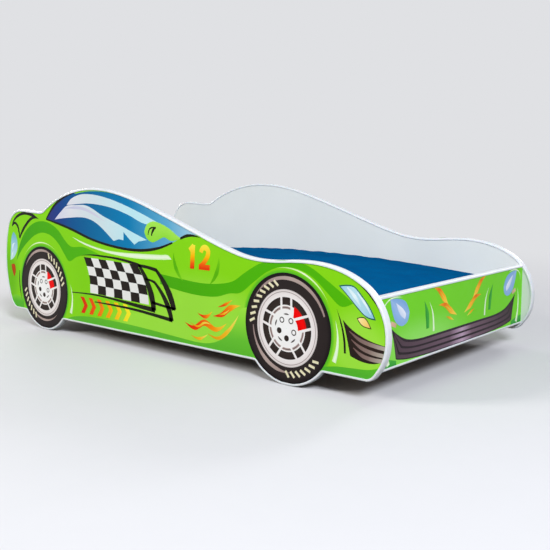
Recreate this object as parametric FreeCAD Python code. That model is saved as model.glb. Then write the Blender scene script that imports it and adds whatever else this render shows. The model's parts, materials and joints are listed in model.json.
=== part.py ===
import FreeCAD, Part
import math
import os

from FreeCAD import Vector

# A child's bed whose two long sides are boards cut as a racing car's outline. Millimetres.
# +X runs to the car's nose, +Y to its left side and +Z up; the origin is the middle of the
# footprint on the floor. The wheels are part of the side boards' outline and don't turn.

# ---- boards and mattress: what the bed is built around
board = 18.0  # thickness of every board
mattress_length = 1600.0
mattress_width = 800.0
mattress_gap = 3.0  # between the mattress and the boards, on each side
inside_length = mattress_length + 2 * mattress_gap
inside_width = mattress_width + 2 * mattress_gap
inner_y = inside_width / 2  # inner face of a side board

# ---- white edging pressed over the boards' edges
edging_web = 2.0  # in front of the board's edge
edging_wall = 2.0  # each leg, on the board's face
edging_leg = 5.0  # how far a leg covers the face
edging_chamfer = 1.0  # where the web turns into the legs
notch_gap = 0.5  # round an edging leg, where an end board is notched for it
end_play = 0.3  # between an end board's edging and the side boards

# ---- outline of a side board
wheel_radius = 153.0  # the board's own edge, under the edging
wheel_flat = 27.0  # width of the flat that a wheel stands on
wheel_heel = 60.0  # radius of the bend from the flat into the tread
sill_corner = 12.0  # radius of the hollow where a sill meets a wheel
sill_height = 51.5  # board's lower edge between the wheels
nose_clearance = 56.5  # the same ahead of the front wheel
tail_clearance = 59.0  # and behind the rear wheel
nose_overhang = 314.0  # from the front axle to the board's foremost point
tail_overhang = 252.0  # from the rear axle to the board's rearmost point
axle_to_front_board = 280.0  # to the outer face of the front board
axle_to_rear_board = 212.0  # to the outer face of the rear board
tail_foot = 185.0  # from the rear axle back to where the tail's underside turns up
tail_heel = 227.0  # and to the middle of that turn
tail_heel_rise = 33.0
tail_height = 224.0  # height of the board's rearmost point
deck_height = 428.0  # top of the tail, behind the roof
deck_back = 130.0  # from the rear axle back to the deck's highest point
deck_front = 5.0  # and to its lowest, before the roof rises
deck_dip = 4.0
pillar_forward = 53.0  # steepest point of the rise to the roof, ahead of the rear axle
pillar_rise = 20.5
pillar_slope = 27.0  # degrees
roof_height = 511.0
roof_forward = 315.0  # roof's highest point, ahead of the rear axle
screen_top = 276.5  # from the roof's highest point to the top of the long slope
screen_top_drop = 49.0
screen_top_slope = 17.5  # degrees
screen_foot = 298.0  # foot of the long slope, behind the front axle
screen_foot_rise = 40.0
screen_foot_slope = 18.5  # degrees
cowl_back = 75.0  # lowest point before the bonnet, behind the front axle
cowl_dip = 7.0
bonnet_height = 336.0
bonnet_forward = 70.0  # bonnet's highest point, ahead of the front axle
wing_forward = 242.0  # where the bonnet falls away to the nose
wing_drop = 42.0
wing_slope = 31.0  # degrees
nose_height = 166.0  # height of the board's foremost point
nose_heel = 296.0  # middle of the turn under the nose, ahead of the front axle
nose_heel_rise = 38.5
nose_foot = 250.0  # and its end

# ---- end boards
end_bottom = 78.0
end_height = 184.5

# ---- slatted base
slat_top = 110.0
slat_thickness = 12.0
slat_width = 68.0
slat_count = 13
slat_margin = 34.0  # from an end board to the first slat
slat_end_gap = 4.0
slat_round = 3.0
rail_height = 30.0
rail_depth = 25.0
rail_end_gap = 3.0
strap_width = 25.0
strap_thickness = 1.5
strap_from_rail = 45.0

# ---- mattress
rest_gap = 0.3  # under the mattress
mattress_edge = 98.0  # height of its long edges at the ends
crown_along = 48.5  # extra height half way along
crown_across = 12.0  # extra height half way across
mattress_corner = 14.0  # rounding of its edges
waist = 4.0  # how far each long side pulls in half way along
cover_thickness = 3.0
mattress_stations = 5  # sections along the straight part

# ---- corner joints: cam locks in the end boards, bolts and dowels into the sides
hole_pitch = 48.0
first_hole = 44.0  # from an end board's lower edge to the first fixing
cam_radius = 7.5
cam_depth = 12.5
cam_setback = 34.0  # from the end of the board to the cam's centre
cam_slot = 1.6
bolt_radius = 2.5
bolt_head_radius = 3.5
bolt_head = 4.0
bolt_thread = 11.0  # the part that is screwed into a side board
dowel_radius = 4.0
dowel_length = 30.0
dowel_in_side = 10.0
hole_play = 0.1  # on the radius of every hole
hardware_sides = 12  # flats that stand for the round of small hardware and its holes
hole_depth_play = 1.0

# ---- screws and staples
screw_radius = 1.9
screw_head_radius = 3.6
screw_head = 2.6
rail_screw = 35.0
rail_screws = 4
rail_screw_inset = 120.0
slat_screw = 32.0
staple_wire = 1.1
staple_crown = 10.0
staple_leg = 7.0

# ---- places that follow
wheel_bend = math.asin(wheel_flat / 2 / (wheel_radius - wheel_heel))
flat_lift = (wheel_radius - wheel_heel) * (1 - math.cos(wheel_bend))
axle_height = wheel_radius - flat_lift + edging_web
wheelbase = inside_length + 2 * board - axle_to_front_board - axle_to_rear_board
outside_length = wheelbase + nose_overhang + tail_overhang + 2 * edging_web
front_axle = outside_length / 2 - edging_web - nose_overhang
rear_axle = front_axle - wheelbase
front_inner = front_axle + axle_to_front_board - board
rear_inner = front_inner - inside_length
bed_middle = (front_inner + rear_inner) / 2
outer_y = inner_y + board
rail_top = slat_top - slat_thickness


def save(name, shape):
    shape.exportStep(os.path.join("parts", name + ".step"))
    print(name, len(shape.Solids), "solid(s)", round(shape.Volume / 1000.0, 1), "cm3")


def heading(degrees):
    """Direction in the board's plane: 0 is towards the nose, 90 is up."""
    angle = math.radians(degrees)
    return Vector(math.cos(angle), 0, math.sin(angle))


def outward(direction):
    """Normal to the left of travel, which is outwards on a path over the car from tail to nose."""
    return Vector(-direction.z, 0, direction.x)


def arrival(start, direction, end):
    """Direction in which the arc that leaves start along direction comes to end."""
    chord = (end - start).normalize()
    return chord * (2 * direction.dot(chord)) - direction


def halfway(start, direction, end):
    """Middle point of that arc, and None for a straight run."""
    chord = end - start
    along = Vector(chord).normalize()
    side = direction - along * direction.dot(along)
    if side.Length < 1e-6:
        return None
    rise = chord.Length / 2 * math.tan(math.asin(min(side.Length, 1)) / 2)
    return (start + end) * 0.5 + side.normalize() * rise


def meeting(start, leaving, end, arriving):
    """Where two arcs of equal tangent length meet, from start along leaving to end along arriving."""
    chord = end - start
    both = leaving + arriving
    square = 2 * (1 - leaving.dot(arriving))
    linear = 2 * chord.dot(both)
    reach = chord.dot(chord) / linear
    if square > 1e-6:
        root = math.sqrt(linear * linear + 4 * square * chord.dot(chord))
        reach = (root - linear) / (2 * square)
    return (start + leaving * reach + end - arriving * reach) * 0.5


def body_stations():
    """Points of the car's upper outline from the tail's foot to the nose's foot: X, Z, heading."""
    return [
        (rear_axle - tail_foot, tail_clearance, 180),
        (rear_axle - tail_heel, tail_clearance + tail_heel_rise, 113),
        (rear_axle - tail_overhang, tail_height, 90),
        (rear_axle - deck_back, deck_height, 0),
        (rear_axle - deck_front, deck_height - deck_dip, 0),
        (rear_axle + pillar_forward, deck_height + pillar_rise, pillar_slope),
        (rear_axle + roof_forward, roof_height, 0),
        (rear_axle + roof_forward + screen_top, roof_height - screen_top_drop, -screen_top_slope),
        (front_axle - screen_foot, bonnet_height + screen_foot_rise, -screen_foot_slope),
        (front_axle - cowl_back, bonnet_height - cowl_dip, 0),
        (front_axle + bonnet_forward, bonnet_height, 0),
        (front_axle + wing_forward, bonnet_height - wing_drop, -wing_slope),
        (front_axle + nose_overhang, nose_height, -90),
        (front_axle + nose_heel, nose_clearance + nose_heel_rise, -121),
        (front_axle + nose_foot, nose_clearance, -180),
    ]


def wheel_points(axle, ahead, behind):
    """Points of the outline round one wheel, from the sill ahead of it to the sill behind it."""
    hub = Vector(axle, 0, axle_height)

    def hollow(side, sill):
        drop = axle_height - sill + sill_corner
        run = math.sqrt((wheel_radius + sill_corner) ** 2 - drop ** 2)
        away = Vector(side * run, 0, -drop)
        on_tread = hub + away * (wheel_radius / (wheel_radius + sill_corner))
        return [Vector(axle + side * run, 0, sill), on_tread]

    def foot(side):
        tread = hub + Vector(side * math.sin(wheel_bend), 0, -math.cos(wheel_bend)) * wheel_radius
        return [tread, Vector(axle + side * wheel_flat / 2, 0, edging_web)]

    return hollow(1, ahead) + foot(1) + foot(-1)[::-1] + hollow(-1, behind)[::-1]


def outline_runs():
    """Every run of the closed outline as (start, direction at the start, end); all are tangent."""
    stations = [(Vector(x, 0, z), heading(turn)) for x, z, turn in body_stations()]
    points = [stations[0][0]]
    for (start, leaving), (end, arriving) in zip(stations, stations[1:]):
        points += [meeting(start, leaving, end, arriving), end]
    points += wheel_points(front_axle, nose_clearance, sill_height)
    points += wheel_points(rear_axle, sill_height, tail_clearance)
    points.append(points[0])
    runs = []
    direction = stations[0][1]
    for start, end in zip(points, points[1:]):
        runs.append((start, direction, end))
        direction = arrival(start, direction, end)
    return runs


side_runs = outline_runs()


def outline(offset, y):
    """The closed outline as a wire, moved outwards by offset along its own normals, at one Y."""
    shift = Vector(0, y, 0)
    edges = []
    for start, direction, end in side_runs:
        turned = arrival(start, direction, end)
        middle = halfway(start, direction, end)
        first = start + outward(direction) * offset + shift
        last = end + outward(turned) * offset + shift
        if middle is None:
            edges.append(Part.makeLine(first, last))
            continue
        along = (end - start).normalize()
        edges.append(Part.Arc(first, middle + outward(along) * offset + shift, last).toShape())
    return Part.Wire(edges)


def plate(offset, y, thickness):
    return Part.Face(outline(offset, y)).extrude(Vector(0, thickness, 0))


def box(x, y, z):
    """A block from its ranges along X, Y and Z."""
    return Part.makeBox(x[1] - x[0], y[1] - y[0], z[1] - z[0], Vector(x[0], y[0], z[0]))


def ring(radius, centre, axis):
    """Outline of small round hardware and its holes: a many-sided ring square to an axis."""
    across = Vector(0, 1, 0) if abs(axis.x) > 0.5 else Vector(1, 0, 0)
    beside = axis.cross(across)
    points = []
    for number in range(hardware_sides + 1):
        angle = 2 * math.pi * (number % hardware_sides) / hardware_sides
        points.append(centre + (across * math.cos(angle) + beside * math.sin(angle)) * radius)
    return Part.makePolygon(points)


def rod(radius, start, direction, length):
    return Part.Face(ring(radius, start, direction)).extrude(direction * length)


def taper(start, direction, length, first_radius, last_radius):
    first = ring(first_radius, start, direction)
    last = ring(last_radius, start + direction * length, direction)
    return Part.makeLoft([first, last], True, True)


def group(solids):
    return Part.makeCompound(solids)


# ---- corner fixings: places shared by the boards, their holes and the hardware

ends = {"front": (front_inner, 1), "rear": (rear_inner, -1)}  # inner face, and its way out
sides = {"right": -1, "left": 1}


def end_range(end):
    """X range of an end board."""
    inner, out = ends[end]
    return sorted((inner, inner + out * board))


def fixing(end, side, row):
    """Point on a side board's inner face where a fixing of one row comes in, and its way in."""
    inner, out = ends[end]
    height = end_bottom + first_hole + row * hole_pitch
    return Vector(inner + out * board / 2, sides[side] * inner_y, height), Vector(0, sides[side], 0)


bolt_rows = (0, 2)
dowel_rows = (1,)


def bolt(end, side, row):
    """Cam bolt: thread in the side board, shank through the end board, head inside the cam."""
    face, into = fixing(end, side, row)
    shank = rod(bolt_radius, face + into * bolt_thread, into * -1, bolt_thread + cam_setback)
    head = rod(bolt_head_radius, face - into * (cam_setback - bolt_head / 2), into * -1, bolt_head)
    return shank.fuse(head)


def cam_housing(end, side, row, play):
    """Round body of a cam lock, let into the inner face of an end board."""
    face, into = fixing(end, side, row)
    inner, out = ends[end]
    start = Vector(inner, face.y - into.y * cam_setback, face.z)
    return rod(cam_radius + play, start, Vector(out, 0, 0), cam_depth + play)


def bolt_way(end, side, row, play):
    """Room for a cam bolt, from the end of the board to beyond its head."""
    face, into = fixing(end, side, row)
    return rod(bolt_head_radius + play, face, into * -1, cam_setback + bolt_head / 2 + play)


def cam_lock(end, side, row):
    """Cam with the pocket that grips the bolt's head and a slot for the screwdriver."""
    housing = cam_housing(end, side, row, 0)
    inner, out = ends[end]
    middle = housing.CenterOfMass
    reach = cam_radius * 0.7
    x = (inner - cam_slot, inner + cam_slot)
    slot = box(x, (middle.y - reach, middle.y + reach), (middle.z - cam_slot / 2, middle.z + cam_slot / 2))
    return housing.cut([bolt_way(end, side, row, hole_play), slot])


def dowel(end, side, row, play, depth_play):
    face, into = fixing(end, side, row)
    start = face + into * (dowel_in_side + depth_play)
    return rod(dowel_radius + play, start, into * -1, dowel_length + 2 * depth_play)


def sunk_screw(head, way, length, play):
    """Countersunk wood screw driven along way, its head's face at head."""
    cone = taper(head, way, screw_head, screw_head_radius + play, screw_radius + play)
    return cone.fuse(rod(screw_radius + play, head + way * screw_head, way, length - screw_head))


def round_screw(head, way, length):
    """Wood screw with a round head that bears on the face at head."""
    return rod(screw_head_radius, head - way * screw_head, way, screw_head).fuse(
        rod(screw_radius, head, way, length)
    )


def rail_screw_places(side):
    """Heads of the screws that hold a rail, and the way they are driven."""
    first = bed_middle - inside_length / 2 + rail_screw_inset
    pitch = (inside_length - 2 * rail_screw_inset) / (rail_screws - 1)
    y = sides[side] * (inner_y - rail_depth)
    z = rail_top - rail_height / 2
    return [(Vector(first + pitch * i, y, z), Vector(0, sides[side], 0)) for i in range(rail_screws)]


# ---- side boards and their edging


def side_board(side):
    way = sides[side]
    solid = plate(0, min(way * inner_y, way * outer_y), board)
    holes = []
    for end in ends:
        for row in bolt_rows:
            face, into = fixing(end, side, row)
            holes.append(rod(bolt_radius + hole_play, face, into, bolt_thread + hole_depth_play))
        for row in dowel_rows:
            holes.append(dowel(end, side, row, hole_play, hole_depth_play))
    return solid.cut(holes)


def side_edging(side):
    """U section round the whole outline: web outside the edge, a leg on each face."""
    middle = sides[side] * (inner_y + board / 2)
    half = board / 2 + edging_wall
    crest = half - edging_chamfer
    levels = [(-half, edging_chamfer), (-crest, 0), (crest, 0), (half, edging_chamfer)]
    rings = [outline(edging_web - drawn, middle + across) for across, drawn in levels]
    blank = Part.makeLoft(rings, True, True)
    opening = plate(-edging_leg, middle - half, 2 * half)
    groove = plate(0, middle - board / 2, board)
    return blank.cut([opening, groove])


def leg_notches():
    """Room for the side edging's inner legs where the end boards and their edging meet them."""
    reach = outside_length
    notches = []
    for way in sides.values():
        first = way * inner_y
        last = way * (inner_y - edging_wall - notch_gap)
        low, high = sorted((first, last))
        around = box((-reach, reach), (low, high), (-reach, reach))
        notches.append(around.cut(plate(-edging_leg - notch_gap, low, high - low)))
    return notches


notches = leg_notches()


# ---- end boards and their edging


def end_board(end):
    solid = box(end_range(end), (-inner_y, inner_y), (end_bottom, end_bottom + end_height))
    holes = list(notches)
    for side in sides:
        for row in bolt_rows:
            holes.append(cam_housing(end, side, row, hole_play))
            holes.append(bolt_way(end, side, row, hole_play))
        for row in dowel_rows:
            holes.append(dowel(end, side, row, hole_play, hole_depth_play))
    return solid.cut(holes)


def end_edging(end, top):
    """U section along an end board's top or bottom edge, between the side boards."""
    x = end_range(end)
    low, high = x[0] - edging_wall, x[1] + edging_wall
    out = 1 if top else -1
    edge = end_bottom + end_height if top else end_bottom
    crest = edge + out * edging_web
    lip = edge - out * edging_leg
    shoulder = crest - out * edging_chamfer
    section = [
        (low, lip),
        (low, shoulder),
        (low + edging_chamfer, crest),
        (high - edging_chamfer, crest),
        (high, shoulder),
        (high, lip),
        (low, lip),
    ]
    length = inner_y - end_play
    face = Part.Face(Part.makePolygon([Vector(x_at, -length, z_at) for x_at, z_at in section]))
    solid = face.extrude(Vector(0, 2 * length, 0))
    return solid.cut([box(x, (-inner_y, inner_y), (end_bottom, end_bottom + end_height))] + notches)


# ---- slatted base


def rail(side):
    way = sides[side]
    y = sorted((way * inner_y, way * (inner_y - rail_depth)))
    x = (rear_inner + rail_end_gap, front_inner - rail_end_gap)
    solid = box(x, y, (rail_top - rail_height, rail_top))
    holes = [rod(screw_radius + hole_play, head, way, rail_depth) for head, way in rail_screw_places(side)]
    return solid.cut(holes)


def slat_centre(number):
    first = rear_inner + slat_margin + slat_width / 2
    last = front_inner - slat_margin - slat_width / 2
    return first + (last - first) * number / (slat_count - 1)


def slat_screw_places(side):
    """One screw at each end of the first and last slats, down into the rail."""
    y = sides[side] * (inner_y - rail_depth / 2)
    return [(Vector(slat_centre(i), y, slat_top), Vector(0, 0, -1)) for i in (0, slat_count - 1)]


def slat(number):
    middle = slat_centre(number)
    half = inner_y - slat_end_gap
    x = (middle - slat_width / 2, middle + slat_width / 2)
    solid = box(x, (-half, half), (rail_top, slat_top))
    long_edges = [e for e in solid.Edges if e.BoundBox.YLength > half]
    solid = solid.makeChamfer(slat_round, long_edges)
    if number in (0, slat_count - 1):
        places = [place for side in sides for place in slat_screw_places(side)]
        solid = solid.cut([sunk_screw(head, way, slat_thickness + 1, hole_play) for head, way in places])
    return solid


def strap_middle(side):
    return sides[side] * (inner_y - rail_depth - strap_from_rail)


def strap(side):
    """Webbing under the slats that keeps them at their pitch."""
    y = strap_middle(side)
    x = (slat_centre(0) - slat_width / 4, slat_centre(slat_count - 1) + slat_width / 4)
    return box(x, (y - strap_width / 2, y + strap_width / 2), (rail_top - strap_thickness, rail_top))


def staple(number, side):
    """A staple from below, through the strap into the slat."""
    x = slat_centre(number)
    y = strap_middle(side)
    low = rail_top - strap_thickness - staple_wire
    half = staple_crown / 2
    crown = box((x - half, x + half), (y - staple_wire / 2, y + staple_wire / 2), (low, low + staple_wire))
    legs = []
    for way in (-1, 1):
        leg_x = sorted((x + way * half, x + way * (half - staple_wire)))
        legs.append(box(leg_x, (y - staple_wire / 2, y + staple_wire / 2), (low, low + staple_leg)))
    return crown.fuse(legs).removeSplitter()


def all_staples():
    return [staple(number, side) for number in range(slat_count) for side in sides]


# ---- mattress


def mattress_section(x, inset, drawn, rounded):
    """Outline across the mattress at one X: flat base, rounded or bevelled corners, crowned top.

    inset is the depth below the cover's outside; drawn is how far an end's rounding pulls in."""
    along = (x - bed_middle) / (mattress_length / 2 + mattress_corner)
    fullness = 1 - along * along
    half = mattress_width / 2 - waist * fullness - inset - drawn
    low = slat_top + rest_gap + inset + drawn
    high = slat_top + rest_gap + mattress_edge + crown_along * fullness - inset - drawn
    bend = mattress_corner - inset
    nook = bend * (1 - math.sqrt(0.5))
    crown = Vector(x, 0, high + crown_across * fullness)
    edges = []

    def turn_corner(first, middle, last):
        first, middle, last = [Vector(x, *place) for place in (first, middle, last)]
        edges.append(Part.Arc(first, middle, last).toShape() if rounded else Part.makeLine(first, last))
        return first, last

    base_right = turn_corner((half - bend, low), (half - nook, low + nook), (half, low + bend))
    top_right = turn_corner((half, high - bend), (half - nook, high - nook), (half - bend, high))
    top_left = turn_corner((bend - half, high), (nook - half, high - nook), (-half, high - bend))
    base_left = turn_corner((-half, low + bend), (nook - half, low + nook), (bend - half, low))
    edges.insert(1, Part.makeLine(base_right[1], top_right[0]))
    edges.insert(3, Part.Arc(top_right[1], crown, top_left[0]).toShape())
    edges.insert(5, Part.makeLine(top_left[1], base_left[0]))
    edges.append(Part.makeLine(base_left[1], base_right[0]))
    return Part.Wire(edges)


def mattress_body(inset, rounded):
    """Ruled loft through sections; the two ends are drawn in like the long edges."""
    half = mattress_length / 2 - inset
    bend = mattress_corner - inset
    last = mattress_stations - 1
    places = [((half - bend) * (2 * i / last - 1), 0) for i in range(mattress_stations)]
    for turn in (45, 90) if rounded else (90,):
        out = half - bend * (1 - math.sin(math.radians(turn)))
        drawn = bend * (1 - math.cos(math.radians(turn))) * 0.98
        places.append((out, drawn))
        places.insert(0, (-out, drawn))
    sections = [mattress_section(bed_middle + x, inset, drawn, rounded) for x, drawn in places]
    return Part.makeLoft(sections, True, True)


# ---- the parts


def main():
    os.makedirs("parts", exist_ok=True)
    for side in sides:
        save("side_panel_" + side, side_board(side))
        save("side_trim_" + side, side_edging(side))
        save("slat_rail_" + side, rail(side))
        save("slat_strap_" + side, strap(side))
        driven = [round_screw(head, way, rail_screw) for head, way in rail_screw_places(side)]
        save("rail_screws_" + side, group(driven))
    for end in ends:
        save(end + "_panel", end_board(end))
        save(end + "_trim_top", end_edging(end, True))
        save(end + "_trim_bottom", end_edging(end, False))
        bolts = [(end, side, row) for side in sides for row in bolt_rows]
        save("cam_bolts_" + end, group([bolt(*place) for place in bolts]))
        save("cam_locks_" + end, group([cam_lock(*place) for place in bolts]))
        pegs = [(end, side, row) for side in sides for row in dowel_rows]
        save("dowels_" + end, group([dowel(*place, 0, 0) for place in pegs]))
    for number in range(slat_count):
        save("slat_%02d" % (number + 1), slat(number))
    places = [place for side in sides for place in slat_screw_places(side)]
    save("slat_screws", group([sunk_screw(head, way, slat_screw, 0) for head, way in places]))
    save("slat_staples", group(all_staples()))
    core = mattress_body(cover_thickness, False)
    save("mattress_core", core)
    save("mattress_cover", mattress_body(0, True).cut(core))


main()
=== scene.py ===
import json
import math
import bmesh
import bpy
import numpy as np
from mathutils import Matrix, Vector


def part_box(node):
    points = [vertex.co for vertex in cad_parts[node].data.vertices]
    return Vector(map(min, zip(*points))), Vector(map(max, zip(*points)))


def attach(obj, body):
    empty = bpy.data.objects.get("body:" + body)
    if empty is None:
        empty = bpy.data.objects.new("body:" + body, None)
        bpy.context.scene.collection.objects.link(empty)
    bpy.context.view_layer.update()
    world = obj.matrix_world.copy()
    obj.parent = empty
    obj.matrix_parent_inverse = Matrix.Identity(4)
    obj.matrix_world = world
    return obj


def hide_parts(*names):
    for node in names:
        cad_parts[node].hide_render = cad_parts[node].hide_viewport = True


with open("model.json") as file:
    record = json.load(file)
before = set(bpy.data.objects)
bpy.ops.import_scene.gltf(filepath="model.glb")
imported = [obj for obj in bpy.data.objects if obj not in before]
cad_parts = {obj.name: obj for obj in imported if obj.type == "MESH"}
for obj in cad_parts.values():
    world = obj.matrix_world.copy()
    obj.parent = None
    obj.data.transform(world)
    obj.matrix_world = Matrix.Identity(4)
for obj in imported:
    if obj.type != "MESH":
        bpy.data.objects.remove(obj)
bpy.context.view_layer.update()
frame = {"nodes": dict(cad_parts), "record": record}
nodes = frame["nodes"]
mm = 0.001
tiny = 1e-6  # a bend or a gap below this counts as none

# The drawing on the sides is in mm, x forward and z up from the front wheel's centre.
feet = {mount["name"]: mount["pos_m"] for mount in frame["record"]["mounts"]}
frontAxle = feet["front_right_wheel_foot"][0] / mm
wheelbase = frontAxle - feet["rear_right_wheel_foot"][0] / mm
sideLow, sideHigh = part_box("side_panel_right")
outerFace, innerFace = -sideLow.y / mm, -sideHigh.y / mm
boardMiddle = (outerFace + innerFace) / 2
sideSigns = {"right": -1, "left": 1}
slopeLimit = 0.02  # an outward normal whose z passes this looks up, or down with a minus


# meshes from numpy grids

def gridFaces(rows, columns, closeRows=False, closeColumns=False):
    # quads of a rows x columns grid, numbered row by row; closing joins the last line to the first
    r = np.arange(rows if closeRows else rows - 1)[:, None]
    c = np.arange(columns if closeColumns else columns - 1)[None, :]
    nextR, nextC = (r + 1) % rows, (c + 1) % columns
    quads = [r * columns + c, r * columns + nextC, nextR * columns + nextC, nextR * columns + c]
    return np.stack([np.broadcast_to(q, (r.size, c.size)) for q in quads], -1).reshape(-1, 4)


def makePiece(name, points, faces, finishes, body, spread=None, finishIndex=None, turn=35, weld=2e-6):
    # points in metres; spread is a UV for each point; faces sharper than turn degrees stay crisp
    mesh = bpy.data.meshes.new(name)
    mesh.from_pydata(np.asarray(points, float).tolist(), [], [list(map(int, f)) for f in faces])
    if finishIndex is not None:
        mesh.polygons.foreach_set("material_index", np.asarray(finishIndex, np.int32))
    if spread is not None:
        corners = np.zeros(len(mesh.loops), np.int32)
        mesh.loops.foreach_get("vertex_index", corners)
        layer = mesh.uv_layers.new(name="spread")
        layer.data.foreach_set("uv", np.asarray(spread, np.float32)[corners].ravel())
    tidy = bmesh.new()
    tidy.from_mesh(mesh)
    bmesh.ops.remove_doubles(tidy, verts=tidy.verts, dist=weld)
    bmesh.ops.dissolve_degenerate(tidy, edges=tidy.edges, dist=weld / 2)
    bmesh.ops.recalc_face_normals(tidy, faces=tidy.faces)
    tidy.to_mesh(mesh)
    tidy.free()
    for finish in finishes:
        mesh.materials.append(finish)
    piece = bpy.data.objects.new(name, mesh)
    bpy.context.scene.collection.objects.link(piece)
    with bpy.context.temp_override(object=piece, active_object=piece, selected_objects=[piece],
                                   selected_editable_objects=[piece]):
        bpy.ops.object.shade_smooth_by_angle(angle=math.radians(turn))
    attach(piece, body)
    return piece


def carryProfile(centres, normals, profile, place):
    # a closed profile (across, out) carried along a closed path: centre + normal * out, with across beside it
    flat = centres[:, None, :] + normals[:, None, :] * profile[None, :, 1:2]
    across = np.broadcast_to(profile[None, :, 0], flat.shape[:2])
    return place(flat[..., 0], flat[..., 1], across).reshape(-1, 3)


# finishes

cloudBand = (0.3, 0.7)  # a noise's values between which soft clouds fade


def ink(red, green, blue):
    # a colour from its 0 to 255 values, as the linear values that the nodes want
    shares = np.array([red, green, blue]) / 255
    linear = np.where(shares <= 0.04045, shares / 12.92, ((shares + 0.055) / 1.055) ** 2.4)
    return (*map(float, linear), 1.0)


class Finish:
    # one node material; a value given to put() is a number, a colour or another node's socket
    def __init__(self, name, values=None):
        self.material = bpy.data.materials.new(name)
        self.material.use_nodes = True
        self.tree = self.material.node_tree
        self.tree.nodes.clear()
        self.shader = self.put("BsdfPrincipled", values)
        self.put("OutputMaterial", {"Surface": self.shader.outputs[0]})
        self.place = self.put("TexCoord")
        self.where = self.place.outputs["Object"]

    def put(self, kind, values=None, **settings):
        node = self.tree.nodes.new("ShaderNode" + kind)
        for key, value in settings.items():
            setattr(node, key, value)
        for key, value in (values or {}).items():
            socket = node.inputs[key]
            if isinstance(value, bpy.types.NodeSocket):
                self.tree.links.new(value, socket)
            else:
                socket.default_value = value
        return node

    def math(self, operation, first, second=0.0):
        return self.put("Math", {0: first, 1: second}, operation=operation).outputs[0]

    def mix(self, share, first, second):
        return self.put("Mix", {0: share, 6: first, 7: second}, data_type="RGBA").outputs[2]

    def noise(self, scale, detail=2.0, roughness=0.5, where=None, **values):
        chosen = {"Vector": where or self.where, "Scale": scale, "Detail": detail, "Roughness": roughness}
        return self.put("TexNoise", {**chosen, **values}).outputs[0]

    def waves(self, scale, bands, distortion=0.0, where=None):
        values = {"Vector": where or self.where, "Scale": scale, "Distortion": distortion}
        return self.put("TexWave", values, bands_direction=bands).outputs["Fac"]

    def stretched(self, scale, location=(0, 0, 0), turn=(0, 0, 0)):
        values = {"Vector": self.where, "Scale": scale, "Location": location, "Rotation": turn}
        return self.put("Mapping", values).outputs[0]

    def spot(self, centre, reach):
        # 1 at the centre and 0 at reach along each axis, in metres
        scale = [1 / r for r in reach]
        location = [-c / r for c, r in zip(centre, reach)]
        return self.put("TexGradient", {"Vector": self.stretched(scale, location)},
                        gradient_type="SPHERICAL").outputs[0]

    def ramp(self, share, stops):
        node = self.put("ValToRGB", {"Fac": share})
        elements = node.color_ramp.elements
        while len(elements) < len(stops):
            elements.new(0.5)
        for element, (position, colour) in zip(elements, stops):
            element.position = position
            element.color = colour
        return node.outputs[0]

    def between(self, value, low, high, to=(0.0, 1.0)):
        # eased from the first to the second of to as value goes from low to high
        values = {0: value, 1: low, 2: high, 3: to[0], 4: to[1]}
        return self.put("MapRange", values, interpolation_type="SMOOTHSTEP").outputs[0]

    def axis(self, name, where=None):
        return self.put("SeparateXYZ", {0: where or self.where}).outputs[name]

    def colour(self, socket):
        self.tree.links.new(socket, self.shader.inputs["Base Color"])

    def rough(self, share, low, high):
        # the middle half of a noise's values runs the roughness from low to high
        self.tree.links.new(self.between(share, 0.25, 0.75, (low, high)), self.shader.inputs["Roughness"])

    def relief(self, height, strength, depth, below=None):
        values = {"Height": height, "Strength": strength, "Distance": depth}
        if below:
            values["Normal"] = below
        normal = self.put("Bump", values).outputs[0]
        self.tree.links.new(normal, self.shader.inputs["Normal"])
        return normal


filmFinish = {
    "screen": 900.0, "screenShare": 0.05, "screenInk": (20, 20, 20),
    "cloud": 2.2, "cloudFrom": 0.35, "cloudTo": 0.7, "dim": 0.05,
    "wear": 35.0, "rough": (0.34, 0.46),
    "peel": 210.0, "peelStrength": 0.35, "peelDepth": 0.00012,
}


def filmDetail(finish, colour):
    # what every print shares: a fine ink screen, faint clouds of density and a laminate's orange peel
    f = filmFinish
    screen = finish.noise(f["screen"], 1.0)
    cloud = finish.noise(f["cloud"], 3.0)
    inked = finish.mix(finish.math("MULTIPLY", screen, f["screenShare"]), colour, ink(*f["screenInk"]))
    dimmed = finish.between(cloud, f["cloudFrom"], f["cloudTo"], (0.0, f["dim"]))
    finish.colour(finish.mix(dimmed, inked, ink(0, 0, 0)))
    finish.rough(finish.noise(f["wear"], 4.0), *f["rough"])
    finish.relief(finish.noise(f["peel"], 2.0), f["peelStrength"], f["peelDepth"])
    return finish.material


filmShader = {"Coat Weight": 0.04, "Coat Roughness": 0.22, "Specular IOR Level": 0.08}


def printInk(name, stops, along="u", span=(0.0, 1.0)):
    # ink whose colour runs through stops along the print's own u or v, or along x or z of the car
    finish = Finish(name, values=filmShader)
    if along in "uv":
        share = finish.axis("X" if along == "u" else "Y", finish.place.outputs["UV"])
    else:
        start = frontAxle * mm if along == "x" else axleHeight * mm
        low, high = (at * mm + start for at in span)
        values = {0: finish.axis(along.upper()), 1: low, 2: high}
        share = finish.put("MapRange", values).outputs[0]
    return filmDetail(finish, finish.ramp(share, stops))


# outline of the side boards: the same tangent arcs that the boards are cut to

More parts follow.
